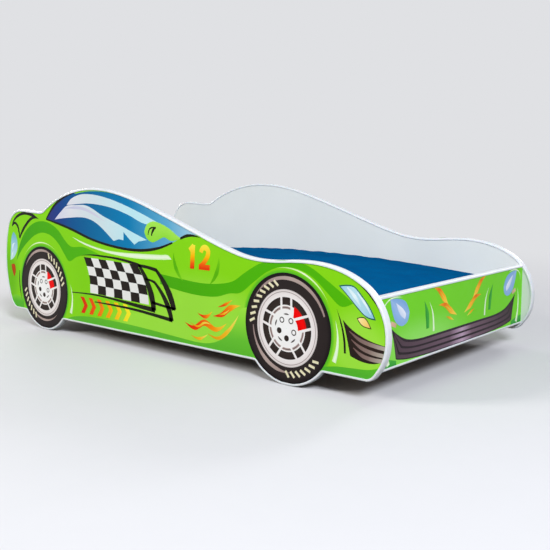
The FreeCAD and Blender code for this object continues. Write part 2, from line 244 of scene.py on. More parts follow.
boardOutline = {
    "wheel": 153.0, "wheelFlat": 27.0, "wheelHeel": 60.0,
    "sillCorner": 12.0, "sill": 51.5, "noseClearance": 56.5, "tailClearance": 59.0,
    "web": 2.0,
    "over": [  # from the tail's foot over the roof to the nose's foot: axle, x, z from the floor, heading
        ("rear", -185, 59, 180), ("rear", -227, 92, 113), ("rear", -252, 224, 90), ("rear", -130, 428, 0),
        ("rear", -5, 424, 0), ("rear", 53, 448.5, 27), ("rear", 315, 511, 0), ("rear", 591.5, 462, -17.5),
        ("front", -298, 376, -18.5), ("front", -75, 329, 0), ("front", 70, 336, 0), ("front", 242, 294, -31),
        ("front", 314, 166, -90), ("front", 296, 95, -121), ("front", 250, 56.5, -180),
    ],
    "step": 14.0, "turn": 4.0,
}
wheelBend = math.asin(boardOutline["wheelFlat"] / 2 / (boardOutline["wheel"] - boardOutline["wheelHeel"]))
flatLift = (boardOutline["wheel"] - boardOutline["wheelHeel"]) * (1 - math.cos(wheelBend))
axleHeight = boardOutline["wheel"] - flatLift + boardOutline["web"]
axles = {"front": 0.0, "rear": -wheelbase}


def towards(degrees):
    return np.array([math.cos(math.radians(degrees)), math.sin(math.radians(degrees))])


def meeting(start, leaving, end, arriving):
    # where two arcs of equal tangent length meet, from start along leaving to end along arriving
    chord, both = end - start, leaving + arriving
    square, linear = 2 * (1 - leaving @ arriving), 2 * (chord @ both)
    reach = chord @ chord / linear
    if square > tiny:
        reach = (math.sqrt(linear ** 2 + 4 * square * (chord @ chord)) - linear) / (2 * square)
    return (start + leaving * reach + end - arriving * reach) / 2


def wheelPoints(axle, ahead, behind):
    # points round one wheel's foot, from the sill ahead of it to the sill behind it
    radius, corner = boardOutline["wheel"], boardOutline["sillCorner"]

    def hollow(way, sill):
        drop = axleHeight - sill + corner
        run = math.sqrt((radius + corner) ** 2 - drop ** 2)
        away = np.array([way * run, -drop])
        return [np.array([axle + way * run, sill - axleHeight]),
                np.array([axle, 0]) + away * radius / (radius + corner)]

    def foot(way):
        tread = np.array([axle + way * math.sin(wheelBend) * radius, -math.cos(wheelBend) * radius])
        flatEnd = np.array([axle + way * boardOutline["wheelFlat"] / 2, boardOutline["web"] - axleHeight])
        return [tread, flatEnd]

    return hollow(1, ahead) + foot(1) + foot(-1)[::-1] + hollow(-1, behind)[::-1]


def outlinePath():
    # points and outward normals along the closed outline:
    # each run is start + radius * (sin h - sin h0, cos h0 - cos h)
    stations = [(np.array([axles[axle] + x, z - axleHeight]), towards(heading))
                for axle, x, z, heading in boardOutline["over"]]
    points = [stations[0][0]]
    for (start, leaving), (end, arriving) in zip(stations, stations[1:]):
        points += [meeting(start, leaving, end, arriving), end]
    points += wheelPoints(axles["front"], boardOutline["noseClearance"], boardOutline["sill"])
    points += wheelPoints(axles["rear"], boardOutline["sill"], boardOutline["tailClearance"])
    heading = math.radians(boardOutline["over"][0][3])
    places, headings = [], []
    for start, end in zip(points, points[1:] + points[:1]):
        chord = end - start
        half = (math.atan2(chord[1], chord[0]) - heading + math.pi) % (2 * math.pi) - math.pi
        length = np.linalg.norm(chord) * (half / math.sin(half) if abs(half) > tiny else 1)
        steps = length / boardOutline["step"], math.degrees(abs(2 * half)) / boardOutline["turn"]
        count = max(2, math.ceil(max(steps)))
        share = np.arange(count) / count
        angle = heading + 2 * half * share
        if abs(half) > tiny:
            radius = length / (2 * half)
            rise = np.stack([np.sin(angle) - math.sin(heading), math.cos(heading) - np.cos(angle)], 1)
            places.append(start + radius * rise)
        else:
            places.append(start + share[:, None] * chord)
        headings.append(angle)
        heading += 2 * half
    angle = np.concatenate(headings)
    return np.concatenate(places), np.stack([-np.sin(angle), np.cos(angle)], 1)


outlinePoints, outlineNormals = outlinePath()
print("outline", len(outlinePoints), "points")


def inside(margin):
    return outlinePoints - outlineNormals * margin


def boardTop(x, margin):
    # height of the board's upper edge at x, less margin along the edge's normal
    over = outlineNormals[:, 1] > slopeLimit
    points = inside(margin)[over]
    order = np.argsort(points[:, 0])
    return np.interp(x, points[order, 0], points[order, 1])


def onSide(x, y, z):
    # metres, from the drawing's x and z and a distance y from the bed's middle
    return np.stack([(x + frontAxle) * mm, y * mm, (z + axleHeight) * mm], -1)


# white edging

edgingShape = {
    "half": 11.0, "web": 2.0, "leg": 5.0, "inner": 9.0, "chamfer": 0.5,
    "shoulder": -1.7, "square": 0.5, "soft": 0.85,
    "crownPoints": 15, "cells": 25,  # round the web, and along an end's edging
}


def edgingProfile():
    # U section: a rounded web, across = half * cos^square, out = shoulder + rise * sin^soft, and two legs
    e = edgingShape
    angle = np.linspace(math.pi, 0, e["crownPoints"])
    across = e["half"] * np.sign(np.cos(angle)) * np.abs(np.cos(angle)) ** e["square"]
    out = e["shoulder"] + (e["web"] - e["shoulder"]) * np.sin(angle) ** e["soft"]
    crown = np.stack([across, out], 1)
    tip = np.array([[e["half"] - e["chamfer"], -e["leg"]], [e["half"], -e["leg"] + e["chamfer"]]])
    legIn = np.array([[e["inner"], 0.0], [e["inner"], -e["leg"]]])
    return np.concatenate([tip * [-1, 1], crown, tip[::-1], legIn[::-1], legIn * [-1, 1]])


edgingFinish = {
    "pale": (224, 227, 229), "shade": (217, 221, 223), "clouds": 60.0,
    "wiped": 90.0, "rough": (0.3, 0.42), "skin": 420.0, "relief": (0.25, 0.0001),
}


def makeWhitePlastic():
    # soft satin plastic: faint clouds of white, wiped patches and a fine skin
    e = edgingFinish
    finish = Finish("white_plastic", values={
        "Coat Weight": 0.04, "Coat Roughness": 0.3, "Specular IOR Level": 0.25,
        "Subsurface Weight": 0.06, "Subsurface Scale": 0.004,
    })
    cloud = finish.between(finish.noise(e["clouds"], 3.0), *cloudBand)
    finish.colour(finish.mix(cloud, ink(*e["shade"]), ink(*e["pale"])))
    finish.rough(finish.noise(e["wiped"], 4.0), *e["rough"])
    finish.relief(finish.noise(e["skin"], 3.0), *e["relief"])
    return finish.material


whitePlastic = makeWhitePlastic()


def makeSideEdging(side):
    middle = sideSigns[side] * boardMiddle
    profile = edgingProfile()
    points = carryProfile(outlinePoints, outlineNormals, profile,
                          lambda x, z, across: onSide(x, middle + across, z))
    faces = gridFaces(len(outlinePoints), len(profile), True, True)
    piece = makePiece("edging_" + side, points, faces, [whitePlastic], "bed_frame")
    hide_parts("side_trim_" + side)


def makeEndEdging(end, level):
    # the same section carried straight across, from one side board to the other
    node = end + "_trim_" + level
    low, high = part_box(node)
    way = 1 if level == "top" else -1
    edge = (high.z if way > 0 else low.z) - way * edgingShape["web"] * mm
    middle = (low.x + high.x) / 2
    profile = edgingProfile() * mm
    across = np.linspace(low.y, high.y, edgingShape["cells"])
    ring = np.stack([middle + profile[:, 0], np.zeros(len(profile)), edge + way * profile[:, 1]], 1)
    points = ring[None] + across[:, None, None] * np.array([0, 1, 0])
    faces = gridFaces(len(across), len(profile), False, True).tolist()
    last = (len(across) - 1) * len(profile)
    faces += [list(range(len(profile))), [last + i for i in range(len(profile))][::-1]]
    name = "edging_" + end + "_" + level
    piece = makePiece(name, points.reshape(-1, 3), faces, [whitePlastic], "bed_frame")
    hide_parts(node)


for side in sideSigns:
    makeSideEdging(side)
for end in ("front", "rear"):
    for level in ("top", "bottom"):
        makeEndEdging(end, level)
print("edging done")


# finishes of the boards, the timber and the hardware

boardFinish = {
    "vivid": (134, 216, 18), "deep": (92, 190, 34), "arch": (150.0, 161.0),
    "laminate": (226, 229, 225), "laminateDull": (221, 225, 222), "clouds": 3.0,
    "raw": ((150, 118, 82), (186, 152, 110)), "grain": 500.0,
    "through": 1e3,  # metres: a side's spots reach right across it
    # soft areas of other greens: where each is full, its share, and each spot's middle and reach in x and z
    "areas": [
        {"green": (158, 226, 66), "full": 0.6, "share": 0.85,
         "spots": [((-330, -10), (330, 150)), ((-560, -60), (260, 60)), ((-520, 250), (160, 60)),
                   ((230, -20), (120, 120))]},
        {"green": (128, 212, 10), "full": 0.8, "share": 0.8,
         "spots": [((-900, 60), (170, 140)), ((290, 100), (70, 90))]},
        {"green": (100, 186, 0), "full": 0.7, "share": 0.85, "spots": [((-1400, 20), (110, 170))]},
    ],
    "endSpot": ((0, -0.2, 0.12), (1e3, 0.3, 0.09)), "endFull": 0.9,  # metres, and where it is full
    "front": {"bright": (118, 216, 40), "soft": (148, 230, 100)},
    "rear": {"bright": (112, 206, 26), "soft": (130, 214, 40)},
}
faceDepth = 0.05  # mm within which a point counts as lying on a face


def laminate(finish):
    # the boards' bare inner face
    cloud = finish.between(finish.noise(boardFinish["clouds"], 4.0), *cloudBand)
    return finish.mix(cloud, ink(*boardFinish["laminateDull"]), ink(*boardFinish["laminate"]))


def makeSidePrint():
    # pale laminate inside, raw board in the holes, and green print outside with soft lighter and deeper areas
    b = boardFinish
    finish = Finish("printed_side_board", values=filmShader)
    green = ink(*b["vivid"])
    for area in b["areas"]:
        for (x, z), (reachX, reachZ) in area["spots"]:
            spot = finish.spot(onSide(x, 0, z), (reachX * mm, b["through"], reachZ * mm))
            share = finish.between(spot, 0.0, area["full"], (0.0, area["share"]))
            green = finish.mix(share, green, ink(*area["green"]))
    near, reach = b["arch"]
    for axle in axles.values():
        spot = finish.spot(onSide(axle, 0, 0), (reach * mm, b["through"], reach * mm))
        green = finish.mix(finish.between(spot, 0.0, 1 - near / reach), green, ink(*b["deep"]))
    side = finish.math("ABSOLUTE", finish.axis("Y"))
    raw = finish.mix(finish.noise(b["grain"], 4.0), *(ink(*wood) for wood in b["raw"]))
    pastInner = finish.math("GREATER_THAN", side, (innerFace + faceDepth) * mm)
    atOuter = finish.math("GREATER_THAN", side, (outerFace - faceDepth) * mm)
    return filmDetail(finish, finish.mix(atOuter, finish.mix(pastInner, laminate(finish), raw), green))


def makeEndPrint(name, face, out, bright, soft):
    # an end board: green print on its outer face, which looks along out, and pale laminate on its inner one
    finish = Finish(name, values=filmShader)
    spot = finish.spot(*boardFinish["endSpot"])
    green = finish.mix(finish.between(spot, 0.0, boardFinish["endFull"]), ink(*bright), ink(*soft))
    along = finish.math("MULTIPLY", finish.axis("X"), float(out))
    printed = finish.math("GREATER_THAN", along, out * face - faceDepth * mm)
    return filmDetail(finish, finish.mix(printed, laminate(finish), green))


woodGrain = {
    "coarse": 0.7, "fine": 0.3, "finer": 9, "warp": 0.6, "stops": (0.34, 0.5, 0.62), "duller": 0.94,
    "rough": (0.5, 0.66), "relief": (0.4, 0.0003),
}
woodFinish = {
    "lengthwise": {"pale": (226, 190, 134), "dark": (190, 142, 86), "stretch": (1.6, 26, 26), "rings": 9.0},
    "crosswise": {"pale": (219, 180, 140), "dark": (186, 142, 102), "stretch": (34, 2.2, 34), "rings": 6.0},
}


def makeWood(name, pale, dark, stretch, rings):
    # long grain: noise and rings stretched along the piece, with fine pores
    g = woodGrain
    finish = Finish(name, values={"Specular IOR Level": 0.3})
    grainWay = finish.stretched(stretch)
    coarse = finish.noise(rings, 6.0, 0.62, grainWay, Distortion=g["warp"])
    fine = finish.noise(rings * g["finer"], 4.0, 0.6, grainWay)
    both = finish.math("ADD", finish.math("MULTIPLY", coarse, g["coarse"]),
                       finish.math("MULTIPLY", fine, g["fine"]))
    colours = (dark, pale, [c * g["duller"] for c in pale])
    finish.colour(finish.ramp(both, [(stop, ink(*colour)) for stop, colour in zip(g["stops"], colours)]))
    finish.rough(fine, *g["rough"])
    finish.relief(both, *g["relief"])
    return finish.material


metalFinish = {
    "zinc_steel": {"pale": (205, 207, 210), "dark": (168, 170, 174), "roughness": (0.28, 0.42),
                   "grainScale": 40.0},
    "zinc_casting": {"pale": (186, 187, 190), "dark": (150, 152, 156), "roughness": (0.4, 0.55),
                     "grainScale": 70.0},
}
metalGrain = {"stretch": (1, 6, 1), "worn": 240.0, "relief": (0.3, 0.00008)}


def makeMetal(name, pale, dark, roughness, grainScale):
    # plated metal with a drawn grain
    finish = Finish(name, values={"Metallic": 1.0})
    brushed = finish.noise(grainScale, 5.0, 0.6, finish.stretched(metalGrain["stretch"]))
    finish.colour(finish.mix(brushed, ink(*dark), ink(*pale)))
    finish.rough(finish.noise(metalGrain["worn"], 4.0), *roughness)
    finish.relief(brushed, *metalGrain["relief"])
    return finish.material


webbingFinish = {
    "warp": 260.0, "weft": 190.0, "dark": (196, 192, 180), "pale": (232, 229, 218),
    "fluff": 300.0, "rough": (0.75, 0.9), "relief": (0.7, 0.0005),
}


def makeWebbing():
    # plain weave: warp and weft waves on the tape
    w = webbingFinish
    finish = Finish("woven_tape", values={
        "Sheen Weight": 0.25, "Sheen Roughness": 0.5, "Specular IOR Level": 0.2})
    warp = finish.waves(w["warp"], "X")
    weft = finish.waves(w["weft"], "Y")
    woven = finish.math("MAXIMUM", warp, weft)
    finish.colour(finish.mix(woven, ink(*w["dark"]), ink(*w["pale"])))
    finish.rough(finish.noise(w["fluff"]), *w["rough"])
    finish.relief(woven, *w["relief"])
    return finish.material


foamFinish = {
    "cells": 300.0, "dark": (236, 224, 176), "pale": (250, 243, 210), "pores": 500.0, "relief": (0.6, 0.0005),
}


def makeFoam():
    # open cells: fine noise in the colour and finer pores in the relief
    f = foamFinish
    finish = Finish("foam", values={"Specular IOR Level": 0.2})
    finish.colour(finish.mix(finish.noise(f["cells"], 4.0), ink(*f["dark"]), ink(*f["pale"])))
    finish.relief(finish.noise(f["pores"], 4.0), *f["relief"])
    return finish.material


def dress(node, material):
    # the CAD node keeps its mesh and takes a new finish
    mesh = nodes[node].data
    if not mesh.materials:
        mesh.materials.append(material)
    for place in nodes[node].material_slots:
        place.material = material


sidePrint = makeSidePrint()
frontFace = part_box("front_panel")[1].x
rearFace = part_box("rear_panel")[0].x
frontPrint = makeEndPrint("printed_front_board", frontFace, 1, **boardFinish["front"])
rearPrint = makeEndPrint("printed_rear_board", rearFace, -1, **boardFinish["rear"])
pineAlong = makeWood("pine_lengthwise", **woodFinish["lengthwise"])
pineAcross = makeWood("pine_crosswise", **woodFinish["crosswise"])
webbing = makeWebbing()
foam = makeFoam()
zincSteel, zincCasting = (makeMetal(name, **look) for name, look in metalFinish.items())

dressings = {  # how the nodes' names begin
    "side_panel_": sidePrint, "front_panel": frontPrint, "rear_panel": rearPrint,
    "slat_rail_": pineAlong, "slat_0": pineAcross, "slat_1": pineAcross, "dowels_": pineAcross,
    "slat_strap_": webbing, "slat_screws": zincSteel, "rail_screws_": zincSteel, "slat_staples": zincSteel,
    "cam_bolts_": zincSteel, "cam_locks_": zincCasting, "mattress_core": foam,
}
for start, material in dressings.items():
    for node in nodes:
        if node.startswith(start):
            dress(node, material)
print("boards, timber and hardware finished")


# mattress

mattressShape = {
    "corner": 13.0, "edge": 98.0, "crownAlong": 48.5, "crownAcross": 12.0, "waist": 2.0,
    "smaller": 0.8, "underShare": 0.1,  # mm inside the CAD solid, and the share of it underneath
    "thread": 15.0, "cornerCells": [0.3, 0.6, 0.85, 1.0],
    "welt": 2.3, "weltOut": 0.5,  # its radius, and how far out it sits
    "weltCells": (90, 48, 10),  # along, across and round it
}
puffing = {
    "pressure": 4.0, "frames": 20, "quality": 6, "mass": 0.35, "stretch": 24.0, "bend": 1.2,
    "capAcross": 1.6, "capUp": 6.0,  # mm
    "under": -0.9, "flat": 0.86, "sloping": 0.3,  # which normals are the underside and the sewn edges
}
coverLow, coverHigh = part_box("mattress_cover")
bedMiddle = (coverLow.x + coverHigh.x) / 2 / mm
coverHalves = np.array([(coverHigh.x - coverLow.x) / 2 / mm, coverHigh.y / mm, mattressShape["edge"] / 2])


def roundedBox(points, half, corner):
    # nearest point of the inner box, plus corner along the way out from it
    core = np.clip(points, corner - half, half - corner)
    away = points - core
    return core + away * (corner / np.linalg.norm(away, axis=1, keepdims=True))


def mattressForm(points, smaller):
    # rounded box whose top rises with 1 - x^2 and 1 - y^2 and whose long sides pull in by waist * (1 - x^2)
    m = mattressShape
    half = coverHalves - smaller
    shape = roundedBox(points * half, half, m["corner"])
    along = shape[:, 0] / (half[0] + m["corner"])
    across = shape[:, 1] / half[1]
    full = 1 - along ** 2
    height = (shape[:, 2] + half[2]) / (2 * half[2])
    rise = height * full * (m["crownAlong"] + m["crownAcross"] * (1 - across ** 2))
    low = coverLow.z / mm + smaller * (1 - height) * m["underShare"]
    return np.stack([
        bedMiddle + shape[:, 0],
        shape[:, 1] * (1 - m["waist"] * full / half[1]),
        low + height * (2 * half[2] + smaller) + rise,
    ], 1) * mm


def spacing(half, corner, thread):
    # shares from -1 to 1: four cells over each rounding and even threads between
    bend = 1 - corner / half
    edge = bend + (1 - bend) * np.array(mattressShape["cornerCells"])
    middle = np.linspace(-bend, bend, max(2, int(2 * half * bend / thread)))
    return np.concatenate([-edge[::-1], middle, edge])


def makeMattressCover():
    # six walls of a grid of shares, shaped together
    m = mattressShape
    shares = [spacing(half, m["corner"], m["thread"]) for half in coverHalves]
    points, faces, count = [], [], 0
    for axis in range(3):
        first, second = [i for i in range(3) if i != axis]
        a, b = np.meshgrid(shares[first], shares[second], indexing="ij")
        for way in (-1.0, 1.0):
            wall = np.zeros((a.size, 3))
            wall[:, axis], wall[:, first], wall[:, second] = way, a.ravel(), b.ravel()
            points.append(wall)
            faces.append(gridFaces(*a.shape) + count)
            count += a.size
    shaped = mattressForm(np.concatenate(points), m["smaller"])
    return makePiece("mattress_fabric_cover", shaped, np.concatenate(faces), [coverFabric], "mattress",
                     turn=180)


def readCover(cover, what):
    # one vector for each vertex: its place, co, or its normal
    values = np.zeros(len(cover.data.vertices) * 3)
    cover.data.vertices.foreach_get(what, values)
    return values.reshape(-1, 3)


def puffCover(cover):
    # cloth with air pressure inside, held at its sewn edges and underneath;
    # each move is eased to cap * tanh(move / cap)
    p = puffing
    rest, normals = readCover(cover, "co"), readCover(cover, "normal")
    flatness = np.abs(normals).max(axis=1)
    sewn = (flatness < p["flat"]) & (np.abs(normals[:, 2]) > p["sloping"])
    fixed = sewn | (normals[:, 2] < p["under"])
    held = cover.vertex_groups.new(name="held")
    held.add(np.nonzero(fixed)[0].tolist(), 1.0, "REPLACE")
    cloth = cover.modifiers.new("puff", "CLOTH")
    cloth.settings.quality = p["quality"]
    cloth.settings.mass = p["mass"]
    cloth.settings.tension_stiffness = p["stretch"]
    cloth.settings.compression_stiffness = p["stretch"]
    cloth.settings.bending_stiffness = p["bend"]
    cloth.settings.use_pressure = True
    cloth.settings.uniform_pressure_force = p["pressure"]
    cloth.settings.vertex_group_mass = "held"
    cloth.settings.effector_weights.gravity = 0
    cloth.point_cache.frame_start, cloth.point_cache.frame_end = 1, p["frames"]
    for number in range(1, p["frames"] + 1):
        bpy.context.scene.frame_set(number)
    step = readCover(cover.evaluated_get(bpy.context.evaluated_depsgraph_get()), "co") - rest
    cover.modifiers.remove(cloth)
    cover.vertex_groups.clear()
    bpy.context.scene.frame_set(1)
    print("cover puffed by up to", round(float(np.abs(step).max()) / mm, 1), "mm, eased to", p["capUp"])
    cap = np.array([p["capAcross"], p["capAcross"], p["capUp"]]) * mm
    cover.data.vertices.foreach_set("co", (rest + cap * np.tanh(step / cap)).ravel())
    cover.data.update()


creases = {
    "height": 3.2, "dip": 0.5, "power": 1.5,  # mm, the share kept downwards, how sharp
    "margin": (12.0, 70.0),  # mm from the cover's edge, where they start and where they are full
    # degrees, mm and shift of each
    "waves": [(-38, 96, 0.4), (24, 71, 2.1), (78, 118, 4.0), (-62, 57, 5.2), (8, 140, 1.2)],
    "bend": (1.5, 2.2),  # how far each wave is bent, and how often along it
}


def creaseCover(cover):
    # faint folds on the top: height * |sum of bent sines| ^ power with the sum's sign, faded out at the edges
    c = creases
    places, upward = readCover(cover, "co"), readCover(cover, "normal")[:, 2]
    x, y = places[:, 0] / mm - bedMiddle, places[:, 1] / mm
    total = np.zeros(len(places))
    for turn, length, phase in c["waves"]:
        cosine, sine = towards(turn)
        ahead, aside = x * cosine + y * sine, y * cosine - x * sine
        bend = c["bend"][0] * np.sin(aside / length * c["bend"][1] + 3 * phase)
        total += np.sin(ahead / length * 2 * math.pi + phase + bend) / len(c["waves"])
    folds = np.clip(np.sign(total) * np.abs(total * 2) ** c["power"], -c["dip"], 1)
    toEdge = np.minimum(coverHalves[0] - np.abs(x), coverHalves[1] - np.abs(y))
    start, full = c["margin"]
    fade = np.clip((toEdge - start) / (full - start), 0, 1)
    places[:, 2] += c["height"] * mm * folds * fade * fade * (3 - 2 * fade) * (upward > 0.5)
    cover.data.vertices.foreach_set("co", places.ravel())
    cover.data.update()


def makeSeam(name, level):
    # a sewn welt: a round section carried along the rounding of the cover's top or bottom edge,
    # point = path + welt * (up * cos a + beside * sin a)
    m = mattressShape
    along, across, around = m["weltCells"]
    longSide, shortSide = np.linspace(-1, 1, along), np.linspace(-1, 1, across)
    loop = np.concatenate([
        np.stack([longSide, -np.ones(along)], 1),
        np.stack([np.ones(across), shortSide], 1)[1:],
        np.stack([longSide[::-1], np.ones(along)], 1)[1:],
        np.stack([-np.ones(across), shortSide[::-1]], 1)[1:-1],
    ])
    path = mattressForm(np.column_stack([loop, np.full(len(loop), level)]), m["smaller"] - m["weltOut"])
    ahead = np.roll(path, -1, 0) - np.roll(path, 1, 0)
    ahead /= np.linalg.norm(ahead, axis=1, keepdims=True)
    up = np.array([0, 0, 1.0]) - ahead * ahead[:, 2:3]
    up /= np.linalg.norm(up, axis=1, keepdims=True)
    beside = np.cross(ahead, up)
    angle = np.linspace(0, 2 * math.pi, around, endpoint=False)[None, :, None]
    section = up[:, None] * np.cos(angle) + beside[:, None] * np.sin(angle)
    ring = path[:, None] + m["welt"] * mm * section
    faces = gridFaces(len(path), around, True, True)
    return makePiece(name, ring.reshape(-1, 3), faces, [coverFabric], "mattress", turn=60)


fabricFinish = {
    "twill": 330.0, "twillBend": 0.4, "turn": (0.4, 0.3, math.radians(45)),
    "weft": 260.0, "weftBend": 0.3, "weftShare": 0.8,
    "thread": (0, 80, 129), "raised": (0, 96, 152), "raisedShare": 0.5,
    "cloud": 11.0, "cloudFrom": 0.35, "cloudTo": 0.7, "cloudBlue": (0, 68, 122), "cloudShare": 0.32,
    "fibre": 700.0, "fibreBlue": (6, 106, 160), "fibreShare": 0.1, "rough": (0.8, 0.95),
    "weave": (0.5, 0.0004), "rumple": 26.0, "rumpled": (0.25, 0.002),  # relief: strength and metres
}


def makeCoverFabric():
    # blue melange twill: diagonal and crosswise waves, fine fibre noise and a trace of sheen
    f = fabricFinish
    finish = Finish("blue_cover_fabric", values={
        "Sheen Weight": 0.003, "Sheen Roughness": 0.4, "Specular IOR Level": 0.0})
    twill = finish.waves(f["twill"], "X", f["twillBend"], finish.stretched((1, 1, 1), turn=f["turn"]))
    weft = finish.waves(f["weft"], "Y", f["weftBend"])
    woven = finish.math("MAXIMUM", twill, finish.math("MULTIPLY", weft, f["weftShare"]))
    fibre = finish.noise(f["fibre"], 4.0)
    cloud = finish.noise(f["cloud"], 4.0)
    clouded = finish.between(cloud, f["cloudFrom"], f["cloudTo"], (0.0, f["cloudShare"]))
    raised = finish.math("MULTIPLY", woven, f["raisedShare"])
    base = finish.mix(clouded, finish.mix(raised, ink(*f["thread"]), ink(*f["raised"])), ink(*f["cloudBlue"]))
    finish.colour(finish.mix(finish.math("MULTIPLY", fibre, f["fibreShare"]), base, ink(*f["fibreBlue"])))
    finish.rough(fibre, *f["rough"])
    finish.relief(finish.noise(f["rumple"], 3.0), *f["rumpled"], finish.relief(woven, *f["weave"]))
    return finish.material


coverFabric = makeCoverFabric()
mattressCover = makeMattressCover()
puffCover(mattressCover)
creaseCover(mattressCover)
finer = mattressCover.modifiers.new("finer", "SUBSURF")
finer.levels = finer.render_levels = 1
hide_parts("mattress_cover")
makeSeam("mattress_welt_top", 1.0)
makeSeam("mattress_welt_bottom", -1.0)
print("mattress done")


# printed film on the boards' outer faces

inkPlan = {  # along u, v, x or z, and for x or z the span in the drawing's mm
    "deepGreen": ("u", [(0, (70, 168, 0)), (0.5, (76, 180, 0)), (1, (80, 182, 0))]),
    "rearGreen": ("u", [(0, (62, 160, 0)), (0.45, (72, 174, 0)), (0.8, (80, 182, 0)), (1, (104, 198, 10))]),
    "sillGreen": ("z", [(0, (88, 180, 42)), (0.3, (100, 192, 48)), (0.75, (142, 220, 58)),
                        (1, (158, 228, 66))], (-97, 40)),
    "footGreen": ("z", [(0, (76, 172, 44)), (0.6, (86, 184, 40)), (1, (120, 206, 44))], (-97, -48)),
    "lineBlack": ("u", [(0, (22, 30, 6)), (1, (24, 18, 12))]),
    "glassBlue": ("x", [(0, (46, 50, 118)), (0.1, (28, 60, 134)), (0.2, (0, 83, 143)), (0.36, (0, 104, 156)),
                        (0.6, (0, 124, 177)), (0.84, (92, 172, 210)), (1, (168, 208, 228))], (-1115, -335)),
    "glassPale": ("x", [(0, (214, 214, 236)), (0.16, (224, 226, 232)), (0.4, (208, 226, 230)),
                        (0.7, (188, 232, 240)), (1, (206, 242, 246))], (-1062, -440)),
    "glassLilac": ("u", [(0, (196, 198, 224)), (1, (214, 214, 228))]),
    "mirrorGreen": ("v", [(0, (146, 222, 58)), (1, (168, 234, 84))]),
    "highlight": ("u", [(0, (170, 234, 84)), (0.5, (240, 255, 210)), (1, (170, 234, 84))]),
    "sliver": ("v", [(0, (214, 248, 180)), (0.5, (240, 252, 228)), (1, (214, 248, 180))]),
    "flagWhite": ("v", [(0, (238, 238, 234)), (1, (230, 231, 226))]),
    "flagBlack": ("v", [(0, (30, 22, 16)), (1, (24, 16, 12))]),
    "flame": ("u", [(0, (222, 20, 0)), (0.35, (238, 66, 0)), (0.7, (250, 150, 10)), (1, (246, 222, 60))]),
    "flameGold": ("u", [(0, (226, 140, 0)), (0.5, (242, 184, 30)), (1, (240, 240, 100))]),
    "flameFront": ("u", [(0, (250, 170, 40)), (0.3, (240, 116, 14)), (0.6, (255, 182, 36)),
                         (1, (255, 230, 90))]),
    "number": ("z", [(0, (224, 18, 0)), (0.25, (244, 96, 6)), (0.55, (255, 190, 0)), (1, (248, 238, 70))],
               (128, 202)),
    "chevron": ("x", [(0, (212, 10, 0)), (0.35, (248, 92, 8)), (0.7, (253, 186, 6)), (1, (250, 236, 40))],
                (-930, -665)),
    "roundel": ("u", [(0, (96, 186, 0)), (0.5, (86, 178, 0)), (1, (120, 206, 20))]),
    "tyre": ("v", [(0, (42, 34, 33)), (0.7, (38, 30, 30)), (0.93, (20, 14, 14)), (1, (14, 10, 10))]),
    "tyreStreak": ("u", [(0, (150, 128, 124)), (0.5, (182, 162, 154)), (1, (158, 136, 130))]),
    "tyreMark": ("v", [(0, (236, 230, 196)), (1, (226, 218, 178))]),
    "rim": ("v", [(0, (249, 249, 247)), (0.5, (245, 243, 240)), (0.86, (238, 231, 228)),
                  (0.97, (226, 217, 214)), (1, (206, 197, 194))]),
    "rimLine": ("v", [(0, (160, 146, 142)), (1, (146, 132, 128))]),
    "rimWindow": ("v", [(0, (52, 42, 38)), (1, (40, 30, 27))]),
    "rimBrown": ("v", [(0, (172, 150, 144)), (1, (194, 174, 168))]),
    "caliper": ("v", [(0, (232, 0, 0)), (0.7, (250, 0, 0)), (1, (214, 8, 4))]),
    "lampBlue": ("u", [(0, (150, 206, 224)), (0.3, (184, 224, 236)), (0.7, (174, 218, 232)),
                       (1, (132, 194, 216))]),
    "lampEdge": ("u", [(0, (26, 100, 92)), (1, (20, 84, 84))]),
    "lampGlint": ("u", [(0, (214, 240, 246)), (0.5, (232, 248, 250)), (1, (196, 230, 240))]),
    "amber": ("u", [(0, (253, 232, 166)), (0.6, (250, 212, 120)), (1, (236, 184, 84))]),
    "intakeDark": ("v", [(0, (34, 24, 20)), (1, (44, 30, 24))]),
    "intakeBar": ("u", [(0, (112, 84, 80)), (0.55, (136, 114, 106)), (1, (176, 166, 152))]),
    "tailBlue": ("z", [(0, (200, 234, 228)), (0.45, (176, 214, 232)), (1, (106, 178, 202))], (82, 192)),
    "tailRed": ("v", [(0, (150, 62, 0)), (0.5, (196, 70, 0)), (1, (160, 70, 6))]),
    "frontLamp": ("v", [(0, (136, 178, 226)), (0.5, (158, 192, 232)), (1, (128, 172, 222))]),
    "frontGlint": ("v", [(0, (208, 222, 244)), (1, (240, 244, 252))]),
    "grilleDark": ("v", [(0, (36, 26, 32)), (1, (44, 34, 40))]),
    "grilleBar": ("u", [(0, (74, 56, 64)), (0.2, (92, 72, 82)), (0.42, (112, 88, 102)),
                        (0.52, (192, 164, 186)), (0.6, (116, 90, 104)), (0.8, (88, 68, 78)),
                        (1, (54, 38, 42))]),
    "frontDeep": ("v", [(0, (40, 150, 48)), (1, (70, 176, 60))]),
    "softOrange": ("u", [(0, (226, 188, 158)), (1, (206, 170, 136))]),
}
inks = {}
for name, plan in inkPlan.items():
    stops = [(position, ink(*colour)) for position, colour in plan[1]]
    inks[name] = printInk("ink_" + name, stops, plan[0], *plan[2:])


